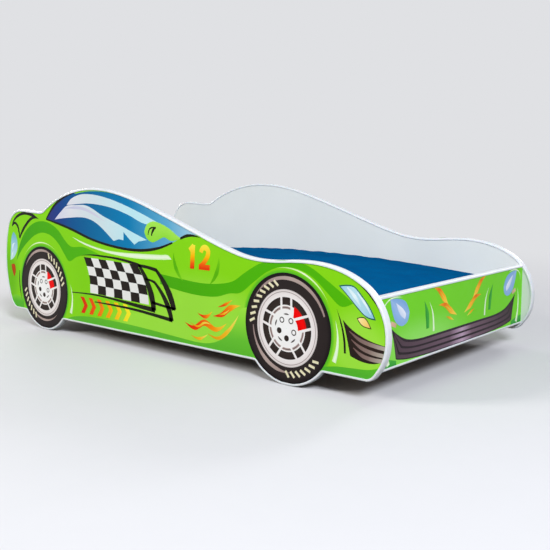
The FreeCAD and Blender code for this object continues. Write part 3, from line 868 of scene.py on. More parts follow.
def curveThrough(points, perSpan=8):
    # smooth curve through the points: cubic Hermite spans,
    # with tangents from the neighbours' slopes by root chord length
    p = np.asarray(points, float)
    if len(p) < 3:
        return p
    chord = np.sqrt(np.linalg.norm(np.diff(p, axis=0), axis=1))[:, None]
    slope = np.diff(p, axis=0) / chord
    inner = (slope[:-1] * chord[1:] + slope[1:] * chord[:-1]) / (chord[:-1] + chord[1:])
    first, last = (1.5 * slope[end] - 0.5 * inner[end] for end in (0, -1))
    tangent = np.concatenate([[first], inner, [last]])
    s = np.linspace(0, 1, perSpan, endpoint=False)[None, :, None]
    a, b = p[:-1, None], p[1:, None]
    leave, arrive = (tangent[:-1] * chord)[:, None], (tangent[1:] * chord)[:, None]
    spans = a * (2 * s**3 - 3 * s**2 + 1) + leave * (s**3 - 2 * s**2 + s)
    spans = spans + b * (3 * s**2 - 2 * s**3) + arrive * (s**3 - s**2)
    return np.concatenate([spans.reshape(-1, 2), p[-1:]])


def joined(*curves):
    return np.concatenate([np.asarray(c, float) for c in curves])


def throughRuns(runs):
    # smooth runs that meet at corners
    return joined(*[curveThrough(run) for run in runs])


def lengthShares(curve):
    steps = np.linalg.norm(np.diff(curve, axis=0), axis=1)
    total = np.concatenate([[0], np.cumsum(steps)])
    return total / total[-1]


def resample(curve, shares):
    own = lengthShares(curve)
    return np.stack([np.interp(shares, own, curve[:, 0]), np.interp(shares, own, curve[:, 1])], 1)


def overSameX(lower, upper):
    # both curves at the same x values, for shapes that are one height above another
    low, high = max(lower[0, 0], upper[0, 0]), min(lower[-1, 0], upper[-1, 0])
    x = np.unique(np.round(np.concatenate([lower[:, 0], upper[:, 0]]), 3))
    x = x[(x >= low) & (x <= high)]
    pair = [np.stack([x, np.interp(x, c[:, 0], c[:, 1])], 1) for c in (lower, upper)]
    pair[1][:, 1] = np.maximum(pair[1][:, 1], pair[0][:, 1])
    return pair


def strokeSides(curve, widths):
    # a line of changing width: curve -+ normal * width / 2, widths spread evenly along it
    curve = np.asarray(curve, float)
    along = np.gradient(curve, axis=0)
    along /= np.linalg.norm(along, axis=1, keepdims=True)
    normal = np.stack([-along[:, 1], along[:, 0]], 1)
    width = np.interp(lengthShares(curve), np.linspace(0, 1, len(widths)), widths)[:, None]
    return curve - normal * width / 2, curve + normal * width / 2


def arc(radius, first, last, centre=0.0, height=0.0, step=4.0):
    # circle points between two angles in degrees
    angle = np.radians(np.linspace(first, last, max(3, int(abs(last - first) / step) + 1)))
    return np.stack([centre + radius * np.cos(angle), height + radius * np.sin(angle)], 1)


filmThickness = 0.1  # mm, and the height of one level
foilSides = (0.06, 1.0)  # a foil's underside and face above its level, in thicknesses


class PrintedPiece:
    # foils on one face of a board: thin closed plates, each between two curves
    def __init__(self, name, place):
        self.name, self.place = name, place
        self.points, self.faces, self.spreads, self.index, self.finishes = [], [], [], [], []
        self.count = 0

    def foil(self, lower, upper, inkName, level=0, rows=2, closed=False):
        # point = lower * (1 - v) + upper * v, on a bottom and a top layer, walled all round
        lower, upper = np.asarray(lower, float), np.asarray(upper, float)
        v = np.linspace(0, 1, rows)[None, :, None]
        flat = lower[:, None] * (1 - v) + upper[:, None] * v
        share = lengthShares((lower + upper) / 2)[:, None]
        grid = flat.shape[:2]
        spread = np.stack([np.broadcast_to(share, grid), np.broadcast_to(v[..., 0], grid)], -1)
        size = flat[..., 0].size
        for side in foilSides:
            raised = np.full(grid, (level + side) * filmThickness)
            self.points.append(self.place(flat[..., 0], flat[..., 1], raised).reshape(-1, 3))
            self.spreads.append(spread.reshape(-1, 2))
        sheet = gridFaces(len(lower), rows, closed)
        place = np.arange(size).reshape(-1, rows)
        rims = [place[:, 0], place[:, -1]]
        if closed:
            rims = [np.append(rim, rim[0]) for rim in rims]
        else:
            rims += [place[0], place[-1]]
        walls = [np.stack([rim[:-1], rim[1:], rim[1:] + size, rim[:-1] + size], 1) for rim in rims]
        made = np.concatenate([sheet, sheet + size, *walls]) + self.count
        if inks[inkName] not in self.finishes:
            self.finishes.append(inks[inkName])
        self.faces.append(made)
        self.index.append(np.full(len(made), self.finishes.index(inks[inkName])))
        self.count += 2 * size

    def line(self, points, widths, inkName, level=0):
        self.foil(*strokeSides(curveThrough(points), widths), inkName, level)

    def area(self, lower, upper, inkName, level=0):
        self.foil(*overSameX(np.asarray(lower, float), np.asarray(upper, float)), inkName, level)

    def leaf(self, lower, upper, inkName, level=0, shrink=0.0, count=33):
        # a closed shape between two smooth curves that start and end together, drawn in by shrink
        shares = (1 - np.cos(np.linspace(0, math.pi, count))) / 2
        low, high = (resample(curveThrough(c), shares) for c in (lower, upper))
        middle = (low + high) / 2
        if shrink:
            size = np.maximum(np.linalg.norm(high - low, axis=1, keepdims=True), tiny)
            centre = middle.mean(0)
            low, high = (middle + (c - middle) * np.clip(1 - 2 * shrink / size, 0, 1) for c in (low, high))
            shorter = 1 - shrink / np.linalg.norm(middle - centre, axis=1).max()
            low, high = (centre + (c - centre) * shorter for c in (low, high))
        self.foil(low, high, inkName, level)

    def ring(self, inner, outer, inkName, level=0, centre=0.0, height=0.0, step=4.0):
        sides = [arc(radius, 0, 360 - step, centre, height, step) for radius in (inner, outer)]
        self.foil(*sides, inkName, level, closed=True)

    def sector(self, radii, first, last, gap, inkName, level=0, centre=0.0, ending=0.0, count=14):
        # between two radii, each end a straight cut that runs gap beside the radius at first or last degrees
        curves = []
        for radius in radii:
            inset = math.degrees(math.asin(gap / radius))
            angle = np.radians(np.linspace(first + inset, last - inset - ending, count))
            curves.append(np.stack([centre + radius * np.cos(angle), radius * np.sin(angle)], 1))
        self.foil(*curves, inkName, level)

    def make(self):
        points, faces = np.concatenate(self.points), np.concatenate(self.faces)
        spread, index = np.concatenate(self.spreads), np.concatenate(self.index)
        return makePiece(self.name, points, faces, self.finishes, "bed_frame",
                         spread, index, turn=30)


# what is printed on each side, from the sill up

edgeMargin = 5.0  # the edging covers this much of the face

fenderArt = {
    "count": 90,  # points along each edge
    "frontUpper": [(-505, 103), (-400, 95), (-320, 91), (-250, 96), (-195, 108), (-145, 138), (-95, 164),
                   (-40, 177), (30, 180), (80, 169), (140, 136), (190, 106), (214, 90)],
    "frontLower": [(-505, 72), (-440, 62), (-340, 54), (-260, 58), (-210, 72), (-168, 78), (-120, 110),
                   (-70, 143), (-20, 161), (40, 160), (90, 142), (140, 104), (178, 78), (214, 90)],
    "rearUpper": [(-1328, 84), (-1300, 146), (-1258, 196), (-1200, 229), (-1145, 239), (-1095, 233),
                  (-1045, 212), (-1005, 178), (-972, 159), (-900, 161), (-830, 147), (-770, 130)],
    "rearLower": [(-1328, 84), (-1290, 126), (-1240, 162), (-1190, 188), (-1140, 198), (-1090, 190),
                  (-1045, 164), (-1010, 128), (-985, 107), (-940, 124), (-880, 136), (-770, 130)],
}


def drawFenders(sheet):
    f = fenderArt
    shares = np.linspace(0, 1, f["count"])
    for end, colour in (("front", "deepGreen"), ("rear", "rearGreen")):
        curves = [resample(curveThrough(f[end + part]), shares) for part in ("Lower", "Upper")]
        sheet.foil(*curves, colour)


sillArt = {
    "main": [(-1010, -97), (-975, -86), (-900, -76), (-760, -73), (-600, -76), (-450, -82), (-340, -86),
             (-290, -81), (-240, -62), (-205, -34), (-182, -2), (-166, 32), (-140, 40), (-120, 36)],
    "nose": [(118, -84), (160, -76), (215, -72), (262, -68), (288, -60)],
    "tail": [(-1380, -62), (-1352, -46), (-1322, -48), (-1290, -56)],
}


def drawSill(sheet):
    upper = curveThrough(sillArt["main"])
    foot = boardOutline["sill"] + edgeMargin - axleHeight
    sheet.area(np.stack([upper[:, 0], np.full(len(upper), foot)], 1), upper, "sillGreen")
    edge = inside(edgeMargin)[outlineNormals[:, 1] < -slopeLimit]
    edge = edge[np.argsort(edge[:, 0])]
    for part in ("nose", "tail"):
        upper = curveThrough(sillArt[part])
        chosen = (edge[:, 0] > upper[0, 0]) & (edge[:, 0] < upper[-1, 0])
        x = np.unique(np.concatenate([upper[:, 0], edge[chosen, 0]]))
        lower = np.stack([x, np.interp(x, edge[:, 0], edge[:, 1])], 1)
        sheet.area(lower, upper, "footGreen")


archArt = {
    "front": {"radius": 161.0, "from": 104.0, "to": 30.0, "widths": [0, 3, 4.5, 3.5, 0]},
    "rear": {"radius": 162.0, "from": 142.0, "to": 52.0, "widths": [0, 1.5, 4, 4, 1.5, 0]},
    "slivers": {
        "front": ([(160, 42), (167, 8), (166, -28), (156, -66)], [0, 5, 9, 13]),
        "rear": ([(-984, 26), (-975, -8), (-977, -42), (-987, -76)], [0, 5, 9, 14]),
    },
    "gaps": {
        "front": ([(164, 72), (178, 36), (187, 0), (190, -38)], [0, 4, 6, 6]),
        "rear": ([(-1309, 50), (-1313, 12), (-1311, -26), (-1303, -62)], [3, 5, 5, 0]),
    },
}


def drawArches(sheet):
    for end, axle in axles.items():
        a = archArt[end]
        sheet.foil(*strokeSides(arc(a["radius"], a["from"], a["to"], axle), a["widths"]), "highlight", 1)
        sheet.line(*archArt["slivers"][end], "sliver", 1)
        sheet.line(*archArt["gaps"][end], "lineBlack", 1)


glassArt = {
    "sill": [(-1115, 247), (-1020, 230), (-950, 215), (-850, 190), (-750, 175), (-650, 168), (-570, 171),
             (-505, 182), (-445, 201)],
    "end": [(-408, 216), (-372, 226), (-338, 229)],
    "pillar": [(-1115, 247), (-1085, 277), (-1050, 303), (-1000, 327), (-950, 341)],
    "roof": (-925, -338), "roofStrip": 5.0, "stripShare": 0.45,  # the green strip over the glass, and its run
    "roofCount": 60, "mirrorCount": 40,
    "sillWidths": [5, 8, 9, 8, 8, 8.5, 9, 5],
    "pillarTop": (-905, 348.5), "pillarWidths": [5, 8, 9, 7, 0],
    "endLine": ([(-409, 215), (-380, 225), (-350, 226.5), (-322, 221)], [7, 9, 6, 0]),
    "underShine": {
        "upper": [(-962, 193), (-900, 178), (-800, 161), (-700, 156), (-600, 158), (-500, 161), (-466, 162),
                  (-450, 150)],
        "lower": [(-962, 193), (-900, 172), (-800, 154), (-720, 146), (-620, 142), (-520, 145), (-450, 150)],
    },
    "upperShine": {
        "upper": [(-985, 300), (-956, 322), (-900, 337), (-840, 338), (-770, 330), (-690, 313), (-600, 288),
                  (-520, 262), (-436, 233)],
        "lower": [(-985, 300), (-930, 304), (-870, 308), (-800, 305), (-730, 296), (-650, 277), (-580, 254),
                  (-510, 246), (-436, 233)],
    },
    "lowerShine": {
        "upper": [(-1062, 248), (-1022, 276), (-985, 297), (-930, 301), (-880, 302), (-840, 292), (-790, 272),
                  (-700, 245), (-630, 223), (-562, 203)],
        "lower": [[(-1062, 248), (-1000, 255), (-900, 261), (-850, 255), (-805, 238), (-765, 214),
                   (-730, 191)],
                  [(-702, 198), (-679, 196)], [(-677, 222), (-650, 202), (-624, 185)],
                  [(-604, 196), (-562, 203)]],
    },
    "lilac": ([(-1000, 287), (-950, 292), (-890, 290), (-830, 274), (-770, 250)], [0, 9, 10, 8, 0]),
    "mirrorLower": [(-574, 228), (-563, 208), (-536, 197), (-508, 206), (-482, 215), (-452, 206),
                    (-424, 210)],
    "mirrorUpper": [(-574, 228), (-561, 250), (-534, 261), (-500, 257), (-452, 240), (-424, 224),
                    (-405, 216)],
    "mirrorMarks": [([(-556, 219), (-547, 238), (-518, 243)], [3, 5, 4]),
                    ([(-540, 217), (-532, 234), (-518, 243)], [4, 9, 4])],
}


def drawWindow(sheet):
    g = glassArt
    low, high = g["roof"]
    x = np.linspace(low, high, g["roofCount"])
    strip = g["roofStrip"] * np.clip(1 - (x - low) / (g["stripShare"] * (high - low)), 0, 1)
    roof = np.stack([x, boardTop(x, edgeMargin) - strip], 1)
    sheet.area(throughRuns([g["sill"], g["end"]]), joined(curveThrough(g["pillar"]), roof), "glassBlue")
    shine = g["upperShine"]
    sheet.area(curveThrough(shine["lower"]), curveThrough(shine["upper"]), "glassPale", 1)
    shine = g["lowerShine"]
    sheet.area(throughRuns(shine["lower"]), curveThrough(shine["upper"]), "glassPale", 1)
    sheet.line(*g["lilac"], "glassLilac", 2)
    sheet.line(g["sill"], g["sillWidths"], "lineBlack", 3)
    sheet.line(g["pillar"] + [g["pillarTop"]], g["pillarWidths"], "lineBlack", 3)
    sheet.line(*g["endLine"], "lineBlack", 3)
    shine = g["underShine"]
    sheet.area(curveThrough(shine["lower"]), curveThrough(shine["upper"]), "sliver", 1)


def drawMirror(sheet):
    g = glassArt
    shares = np.linspace(0, 1, g["mirrorCount"])
    sides = [resample(curveThrough(g["mirror" + part]), shares) for part in ("Lower", "Upper")]
    sheet.foil(*sides, "mirrorGreen", 2)
    for points, widths in g["mirrorMarks"]:
        sheet.line(points, widths, "lineBlack", 3)


wheelArt = {
    "step": 3, "lugStep": 15,  # degrees from point to point of the rings
    "tyre": 148.0, "rim": 104.0, "rimLine": (96.5, 98.2), "seam": 0.03, "hub": 0.5,
    "pairs": 5, "between": 13.5, "beside": 20.5,  # spokes: half the gap in a pair, and beside it
    "window": (63.0, 83.5), "inner": (52.5, 59.5), "innerLine": (55.4, 57.0),
    "dash": (38.5, 13.0, 4.0), "lugRadius": 26.5, "lug": (5.4, 8.2), "lugMiddle": 0.3, "darkLugs": (198, 270),
    "caliperPair": 4, "caliperNarrow": (39.0, 68.0), "caliperWide": (40.0, 67.0), "caliperEnd": 6.0,
    "marks": {  # streaks: radius, from and to in degrees, then widths; bars: from and to in degrees
        "front": {"streaks": [((134, 148, 20), [0, 8, 10, 9, 5]), ((119, 182, 277), [3, 6, 12, 10, 0])],
                  "bars": [(104, 178), (268, 326)]},
        "rear": {"streaks": [((134, 150, 62), [0, 7, 9, 8, 0]), ((119, 222, 312), [0, 6, 8, 5, 0])],
                 "bars": [(8, 74), (186, 246)]},
    },
    "bar": {"radius": 123.0, "length": 17.0, "width": 7.0, "pitch": 8.6, "lean": 5.0},
}


def drawWheel(sheet, end):
    # tyre, rim with five pairs of parallel spokes, brake and bolt holes, all about the axle
    w, axle = wheelArt, axles[end]
    sheet.ring(w["rim"] + w["seam"], w["tyre"], "tyre", 1, axle, step=w["step"])
    sheet.ring(w["hub"], w["rim"] - w["seam"], "rim", 1, axle, step=w["step"])
    sheet.ring(*w["rimLine"], "rimLine", 2, axle, step=w["step"])
    pitch = 360 / w["pairs"]
    for pair in range(w["pairs"]):
        top = 90 + pitch * pair
        windows = [
            (top, top, -w["between"], w["caliperNarrow"], 0.0),
            (top, top + pitch, w["beside"], w["caliperWide"], w["caliperEnd"]),
        ]
        for first, last, gap, brake, ending in windows:
            sheet.sector(w["window"], first, last, gap, "rimWindow", 2, axle)
            if pair == w["caliperPair"]:
                sheet.sector(brake, first, last, gap, "caliper", 3, axle, ending)
            else:
                sheet.sector(w["inner"], first, last, gap, "rimBrown", 2, axle)
                sheet.sector(w["innerLine"], first, last, gap, "rimWindow", 3, axle)
        if pair != w["caliperPair"]:
            radius, half, width = w["dash"]
            curve = arc(radius, top - half, top + half, axle)
            sheet.foil(*strokeSides(curve, [width / 3, width, width, width / 3]), "rimWindow", 2)
        bolt = (top + pitch / 2) % 360
        hole = towards(bolt) * w["lugRadius"] + [axle, 0]
        sheet.ring(*w["lug"], "rimWindow", 2, *hole, step=w["lugStep"])
        if any(abs(bolt - dark) < 1 for dark in w["darkLugs"]):
            sheet.ring(w["lugMiddle"], w["lug"][0] - w["seam"], "rimWindow", 2, *hole, step=w["lugStep"])
    for (radius, first, last), widths in w["marks"][end]["streaks"]:
        sheet.foil(*strokeSides(arc(radius, first, last, axle), widths), "tyreStreak", 2)
    b = w["bar"]
    for first, last in w["marks"][end]["bars"]:
        for angle in np.arange(first, last, b["pitch"]):
            low = towards(angle) * (b["radius"] - b["length"] / 2)
            high = towards(angle + b["lean"]) * (b["radius"] + b["length"] / 2)
            sides = strokeSides(np.array([low, high]) + [axle, 0], [b["width"], b["width"]])
            sheet.foil(*sides, "tyreMark", 3)


flagArt = {
    "corners": ((-898, 128), (-612, 122), (-562, 1), (-868, 9)),  # top left and right, bottom right and left
    "columns": 7, "rows": 4, "swing": 12.0, "groundCount": 25, "chequerCount": 6,
    "frames": [
        ([(-918, 131), (-860, 137), (-780, 137), (-690, 133), (-606, 122)], [0, 5, 6, 8, 10]),
        ([(-606, 124), (-575, 84), (-550, 36), (-538, -15)], [9, 20, 26, 21]),
        ([(-533, -13), (-620, -8), (-740, 0), (-850, 4), (-975, 0)], [16, 11, 7, 5, 3]),
        ([(-606, 121), (-560, 118), (-520, 112)], [9, 10, 12]),
        ([(-523, 113), (-488, 78), (-460, 36), (-444, -2)], [11, 19, 25, 20]),
        ([(-439, 1), (-490, 5), (-548, 11)], [9, 8, 9]),
        ([(-578, 81), (-552, 79), (-530, 74)], [6, 7, 9]),
        ([(-532, 75), (-496, 40), (-470, 2), (-456, -38)], [9, 15, 21, 17]),
        ([(-453, -35), (-540, -28), (-640, -22), (-760, -20), (-845, -20)], [12, 10, 8, 6, 3]),
    ],
}


def drawFlag(sheet):
    # chequers on a leaning patch: bilinear between its corners, its columns swung by sin(pi v)
    f = flagArt
    topLeft, topRight, lowRight, lowLeft = (np.array(corner, float) for corner in f["corners"])

    def point(u, v):
        u, v = np.broadcast_arrays(np.asarray(u, float)[..., None], np.asarray(v, float)[..., None])
        flat = (topLeft * (1 - u) + topRight * u) * (1 - v) + (lowLeft * (1 - u) + lowRight * u) * v
        return flat + np.concatenate([f["swing"] * np.sin(math.pi * v), np.zeros_like(v)], -1)

    v = np.linspace(1, 0, f["groundCount"])
    sheet.foil(point(0, v), point(1, v), "flagWhite", 0, rows=5)
    for row in range(f["rows"]):
        v = np.linspace(row + 1, row, f["chequerCount"]) / f["rows"]
        for column in range(row % 2, f["columns"], 2):
            sheet.foil(point(column / f["columns"], v), point((column + 1) / f["columns"], v), "flagBlack", 1)
    for points, widths in f["frames"]:
        sheet.line(points, widths, "lineBlack", 2)


chevronArt = {
    "first": -926.0, "last": -694.0, "count": 6, "low": -66.0, "high": -10.0, "point": 20.0, "thick": 21.0,
}


def drawChevrons(sheet):
    # a row of arrow marks pointing ahead, each a bent bar
    c = chevronArt
    middle = (c["low"] + c["high"]) / 2
    for x in np.linspace(c["first"], c["last"], c["count"]):
        left = np.array([(x, c["low"]), (x + c["point"], middle), (x, c["high"])])
        sheet.foil(left + [c["thick"], 0], left, "chevron", 1)


flameArt = [
    ([(-398, -32), (-356, -44), (-314, -24), (-266, -38), (-220, -14)], [0, 15, 19, 13, 0], "flame"),
    ([(-376, -30), (-340, -38), (-312, -24), (-286, -26)], [0, 5, 7, 0], "flameGold"),
    ([(-300, -54), (-256, -62), (-214, -34), (-186, -2), (-174, 16)], [0, 9, 13, 8, 0], "flameGold"),
    ([(-278, 0), (-240, 8), (-208, 30), (-166, 42)], [0, 14, 17, 0], "flame"),
    ([(-256, 6), (-232, 12), (-210, 26)], [0, 6, 0], "flameGold"),
    ([(-258, 28), (-228, 38), (-196, 56)], [0, 9, 0], "flame"),
    ([(-342, 2), (-308, -6), (-278, 14)], [0, 12, 0], "flame"),
    ([(-372, -68), (-336, -74), (-298, -56)], [0, 10, 0], "flameGold"),
]


def drawFlames(sheet):
    for points, widths, colour in flameArt:
        sheet.line(points, widths, colour, 1 if colour == "flame" else 2)


numberArt = {
    "middle": -337.0, "base": 130.0, "lean": 0.1, "between": 54.0,
    "lift": 0.4,  # level of one stroke over another
    "one": [([(-12, 54), (6, 68)], [13, 15]), ([(3, 70), (3, 0)], [18, 18])],
    "two": [
        ([(-17, 50), (-10, 63), (2, 64.5), (13, 55), (11, 40), (-2, 22), (-15, 9)],
         [15, 16, 17, 17, 17, 16, 17]),
        ([(-23, 8), (23, 8)], [16, 16]),
    ],
    "roundel": {
        "centre": (-345, 168), "radius": 96.0, "arcs": [(178, 234), (-54, 2)], "widths": [0, 10, 14, 10, 0],
    },
}


def drawNumber(sheet, hand):
    # plain digits that read the right way on either side; hand is 1 or -1
    n = numberArt
    ring = n["roundel"]
    for first, last in ring["arcs"]:
        curve = arc(ring["radius"], first, last, *ring["centre"])
        sheet.foil(*strokeSides(curve, ring["widths"]), "roundel", 1)
    for name, shift in (("one", -n["between"] / 2), ("two", n["between"] / 2)):
        for part, (points, widths) in enumerate(n[name]):
            low, high = strokeSides(curveThrough(points), widths)
            for side in (low, high):
                side[:, 0] = n["middle"] + hand * (side[:, 0] + shift + n["lean"] * side[:, 1])
                side[:, 1] = n["base"] + side[:, 1]
            sheet.foil(low, high, "number", 1 + n["lift"] * part)


noseArt = {
    "from": 240.0, "gap": 0.2, "count": 60,  # where the nose's edge starts, the room behind it, points
    "lampRim": 2.2, "amberRim": 1.6,
    "lampLower": [(170, 130), (200, 104), (228, 78), (252, 60), (280, 56)],
    "lampUpper": [(170, 130), (192, 134), (216, 133), (242, 110), (266, 82), (280, 56)],
    "lampFacets": [([(196, 128), (222, 104), (236, 84)], [4, 10, 3]),
                   ([(226, 118), (250, 92), (266, 68)], [3, 7, 2])],
    "amberLower": [(225, 55), (240, 38), (268, 33)], "amberUpper": [(225, 55), (248, 59), (268, 33)],
    "edgeShade": (222, 292, 7.0, [0, 3.5, 4.5, 0]),  # painted shade: a dark line just inside the nose's top edging; from x, to x, under the outline by, widths
    "intakeUpper": [(183, 46), (212, 24), (255, 6), (308, -4)],
    "intakeLower": [[(183, 46), (194, 8), (206, -42)], [(206, -42), (240, -51), (270, -52), (300, -44)]],
    "bars": [[(203, 20), (235, 2), (270, -6), (308, -10)], [(209, 0), (238, -17), (270, -25), (308, -28)],
             [(215, -20), (242, -36), (268, -41), (302, -41)]],
    "barWidths": [2, 9.5, 10.5, 10],
}


def drawNose(sheet):
    n = noseArt
    edge = inside(edgeMargin)
    nose = edge[edge[:, 0] > n["from"]]
    nose = nose[np.argsort(nose[:, 1])]

    def cut(curve):
        # keeps a curve behind the nose's edging
        curve = np.array(curve, float)
        curve[:, 0] = np.minimum(curve[:, 0], np.interp(curve[:, 1], nose[:, 1], nose[:, 0]) - n["gap"])
        return curve

    sheet.leaf(n["lampLower"], n["lampUpper"], "lampEdge", 1)
    sheet.leaf(n["lampLower"], n["lampUpper"], "lampBlue", 2, n["lampRim"])
    for points, widths in n["lampFacets"]:
        sheet.line(points, widths, "lampGlint", 3)
    sheet.leaf(n["amberLower"], n["amberUpper"], "lineBlack", 1)
    sheet.leaf(n["amberLower"], n["amberUpper"], "amber", 2, n["amberRim"])
    # painted shade: a black line along the nose's top, just inside the edging, where the edging's shadow
    # falls on the board
    first, last, under, widths = n["edgeShade"]
    crown = inside(under)[outlineNormals[:, 1] > slopeLimit]
    crown = crown[(crown[:, 0] > first) & (crown[:, 0] < last)]
    sheet.foil(*strokeSides(crown[np.argsort(crown[:, 0])], widths), "lineBlack", 1)
    shares = np.linspace(0, 1, n["count"])
    lower = resample(throughRuns(n["intakeLower"]), shares)
    upper = resample(curveThrough(n["intakeUpper"]), shares)
    sheet.foil(cut(lower), cut(upper), "intakeDark", 1)
    for bar in n["bars"]:
        low, high = strokeSides(curveThrough(bar), n["barWidths"])
        sheet.foil(cut(low), cut(high), "intakeBar", 2)


tailArt = {
    "lift": 0.3,  # level of one stroke over another
    "lampLeft": [(-1371, 84), (-1363, 130), (-1356, 168), (-1340, 193)],
    "lampRight": [(-1371, 84), (-1342, 98), (-1318, 132), (-1320, 170), (-1340, 193)],
    "glints": [([(-1352, 122), (-1346, 144), (-1332, 150)], [2, 9, 2]),
               ([(-1360, 96), (-1350, 116), (-1346, 120)], [2, 7, 2])],
    "reflectorLeft": [(-1366, 68), (-1362, 48), (-1351, 22)],
    "reflectorRight": [(-1366, 68), (-1342, 70), (-1338, 42), (-1351, 22)],
    "fin": [
        ([(-1346, 213), (-1334, 233), (-1300, 254), (-1250, 264), (-1205, 258), (-1162, 245)],
         [4, 9, 10, 11, 12, 0]),
        ([(-1168, 247), (-1205, 248), (-1245, 226), (-1278, 196), (-1298, 170)], [0, 10, 11, 11, 6]),
        ([(-1346, 213), (-1326, 226), (-1308, 215), (-1300, 192), (-1298, 170)], [4, 9, 10, 8, 4]),
    ],
}


def drawTail(sheet):
    t = tailArt
    sheet.leaf(t["lampLeft"], t["lampRight"], "tailBlue", 1)
    for points, widths in t["glints"]:
        sheet.line(points, widths, "lampGlint", 2)
    sheet.leaf(t["reflectorLeft"], t["reflectorRight"], "tailRed", 1)
    for number, (points, widths) in enumerate(t["fin"]):
        sheet.line(points, widths, "lineBlack", 1 + t["lift"] * number)


def printSide(side, sign):
    # each print is a piece of its own
    drawings = {
        "sill_print": drawSill, "fender_print": drawFenders, "arch_lines": drawArches,
        "window_print": drawWindow, "mirror_print": drawMirror, "chequered_print": drawFlag,
        "chevron_print": drawChevrons, "flame_print": drawFlames,
        "number_print": lambda sheet: drawNumber(sheet, -sign),
        "nose_print": drawNose, "tail_print": drawTail,
        "front_wheel_print": lambda sheet: drawWheel(sheet, "front"),
        "rear_wheel_print": lambda sheet: drawWheel(sheet, "rear"),
    }
    for name, draw in drawings.items():
        sheet = PrintedPiece(name + "_" + side, lambda x, z, out: onSide(x, sign * (outerFace + out), z))
        draw(sheet)
        sheet.make()
    print(side, "side printed")


for side, sign in sideSigns.items():
    printSide(side, sign)


# what is printed on the front board: y from the right side's outer face, z from the axles

frontArt = {
    "low": -71.0, "foot": [(20, -48), (60, -52), (92, -60)],
    "lampLower": [(62, 98), (72, 66), (88, 38), (118, 24), (144, 34), (151, 56)],
    "lampUpper": [(62, 98), (98, 96), (132, 84), (151, 56)],
    "glintLower": [(88, 86), (108, 54), (130, 40)], "glintUpper": [(88, 86), (122, 66), (134, 52), (130, 40)],
    "lines": [
        ([(34, 62), (38, 84), (54, 96), (82, 101), (118, 97)], [0, 3, 4, 3, 0], "sliver", 1),
        ([(66, 38), (90, 29)], [12, 11], "softOrange", 1),
        ([(224, 74), (238, 40), (243, -2)], [0, 18, 14], "frontDeep", 1),
        ([(250, 68), (268, 34), (274, -14)], [0, 7, 9], "sliver", 1),
        ([(52, 42), (44, 6), (46, -34), (56, -66)], [0, 6, 9, 14], "sliver", 1),
    ],
    "flames": [
        ([(272, 102), (300, 92), (324, 70), (352, 44)], [0, 15, 19, 0], "flameFront", 1),
        ([(298, 52), (334, 48), (366, 28), (400, 12)], [0, 14, 17, 0], "flameFront", 2),
        ([(338, 16), (362, 8), (384, 0)], [0, 8, 0], "flameGold", 3),
        ([(290, 94), (312, 82), (330, 64)], [0, 5, 0], "flameGold", 3),
        ([(318, 47), (342, 42), (366, 27)], [0, 5, 0], "flameGold", 3),
    ],
    "grilleUpper": [(68, 25), (100, 4), (140, -13), (195, -21), (300, -22), (421, -22)],
    "grilleLower": [[(68, 25), (80, -10), (90, -57)], [(90, -57), (140, -65), (230, -70), (421, -72)]],
    "bars": [(0.13, 0.34), (0.45, 0.64), (0.76, 0.94)],
    "barEnds": (0.035, 0.965), "cells": 120,
}


def mirrored(points):
    # the same points on the board's other half
    return np.asarray(points, float) * [-1, 1] + [2 * outerFace, 0]


def drawFront(sheet):
    # everything but the grille is drawn at the right side, then mirrored
    f = frontArt
    for turned in (np.array, mirrored):
        sheet.foil(turned([(y, f["low"]) for y, z in f["foot"]]), turned(f["foot"]), "frontDeep")
        sheet.leaf(turned(f["lampLower"]), turned(f["lampUpper"]), "frontLamp", 1)
        sheet.leaf(turned(f["glintLower"]), turned(f["glintUpper"]), "frontGlint", 2)
        for points, widths, colour, level in f["lines"] + f["flames"]:
            sheet.line(turned(points), widths, colour, level)
    shares = np.linspace(0, 1, f["cells"] + 1)
    halves = throughRuns(f["grilleLower"]), curveThrough(f["grilleUpper"])
    lower, upper = (resample(joined(half, mirrored(half)[::-1]), shares) for half in halves)
    sheet.foil(lower, upper, "grilleDark", 1)
    first, last = (int(share * f["cells"]) for share in f["barEnds"])
    for top, bottom in f["bars"]:
        bar = [(upper * (1 - share) + lower * share)[first:last + 1] for share in (bottom, top)]
        sheet.foil(*bar, "grilleBar", 2)


def onFront(y, z, out):
    return np.stack([frontFace + out * mm, (y - outerFace) * mm, (z + axleHeight) * mm], -1)


frontSheet = PrintedPiece("front_board_print", onFront)
drawFront(frontSheet)
frontSheet.make()
print("front board printed")


# floor, light and camera

stageLook = {
    "floor": (216, 216, 217), "speck": (205, 206, 206), "specks": 14.0, "speckShare": 0.06,
    "back": (224, 225, 228), "bounce": (120, 120, 118),
    "fadeFrom": 1.25, "fadeTo": 3.3, "reach": 30.0,  # metres
}


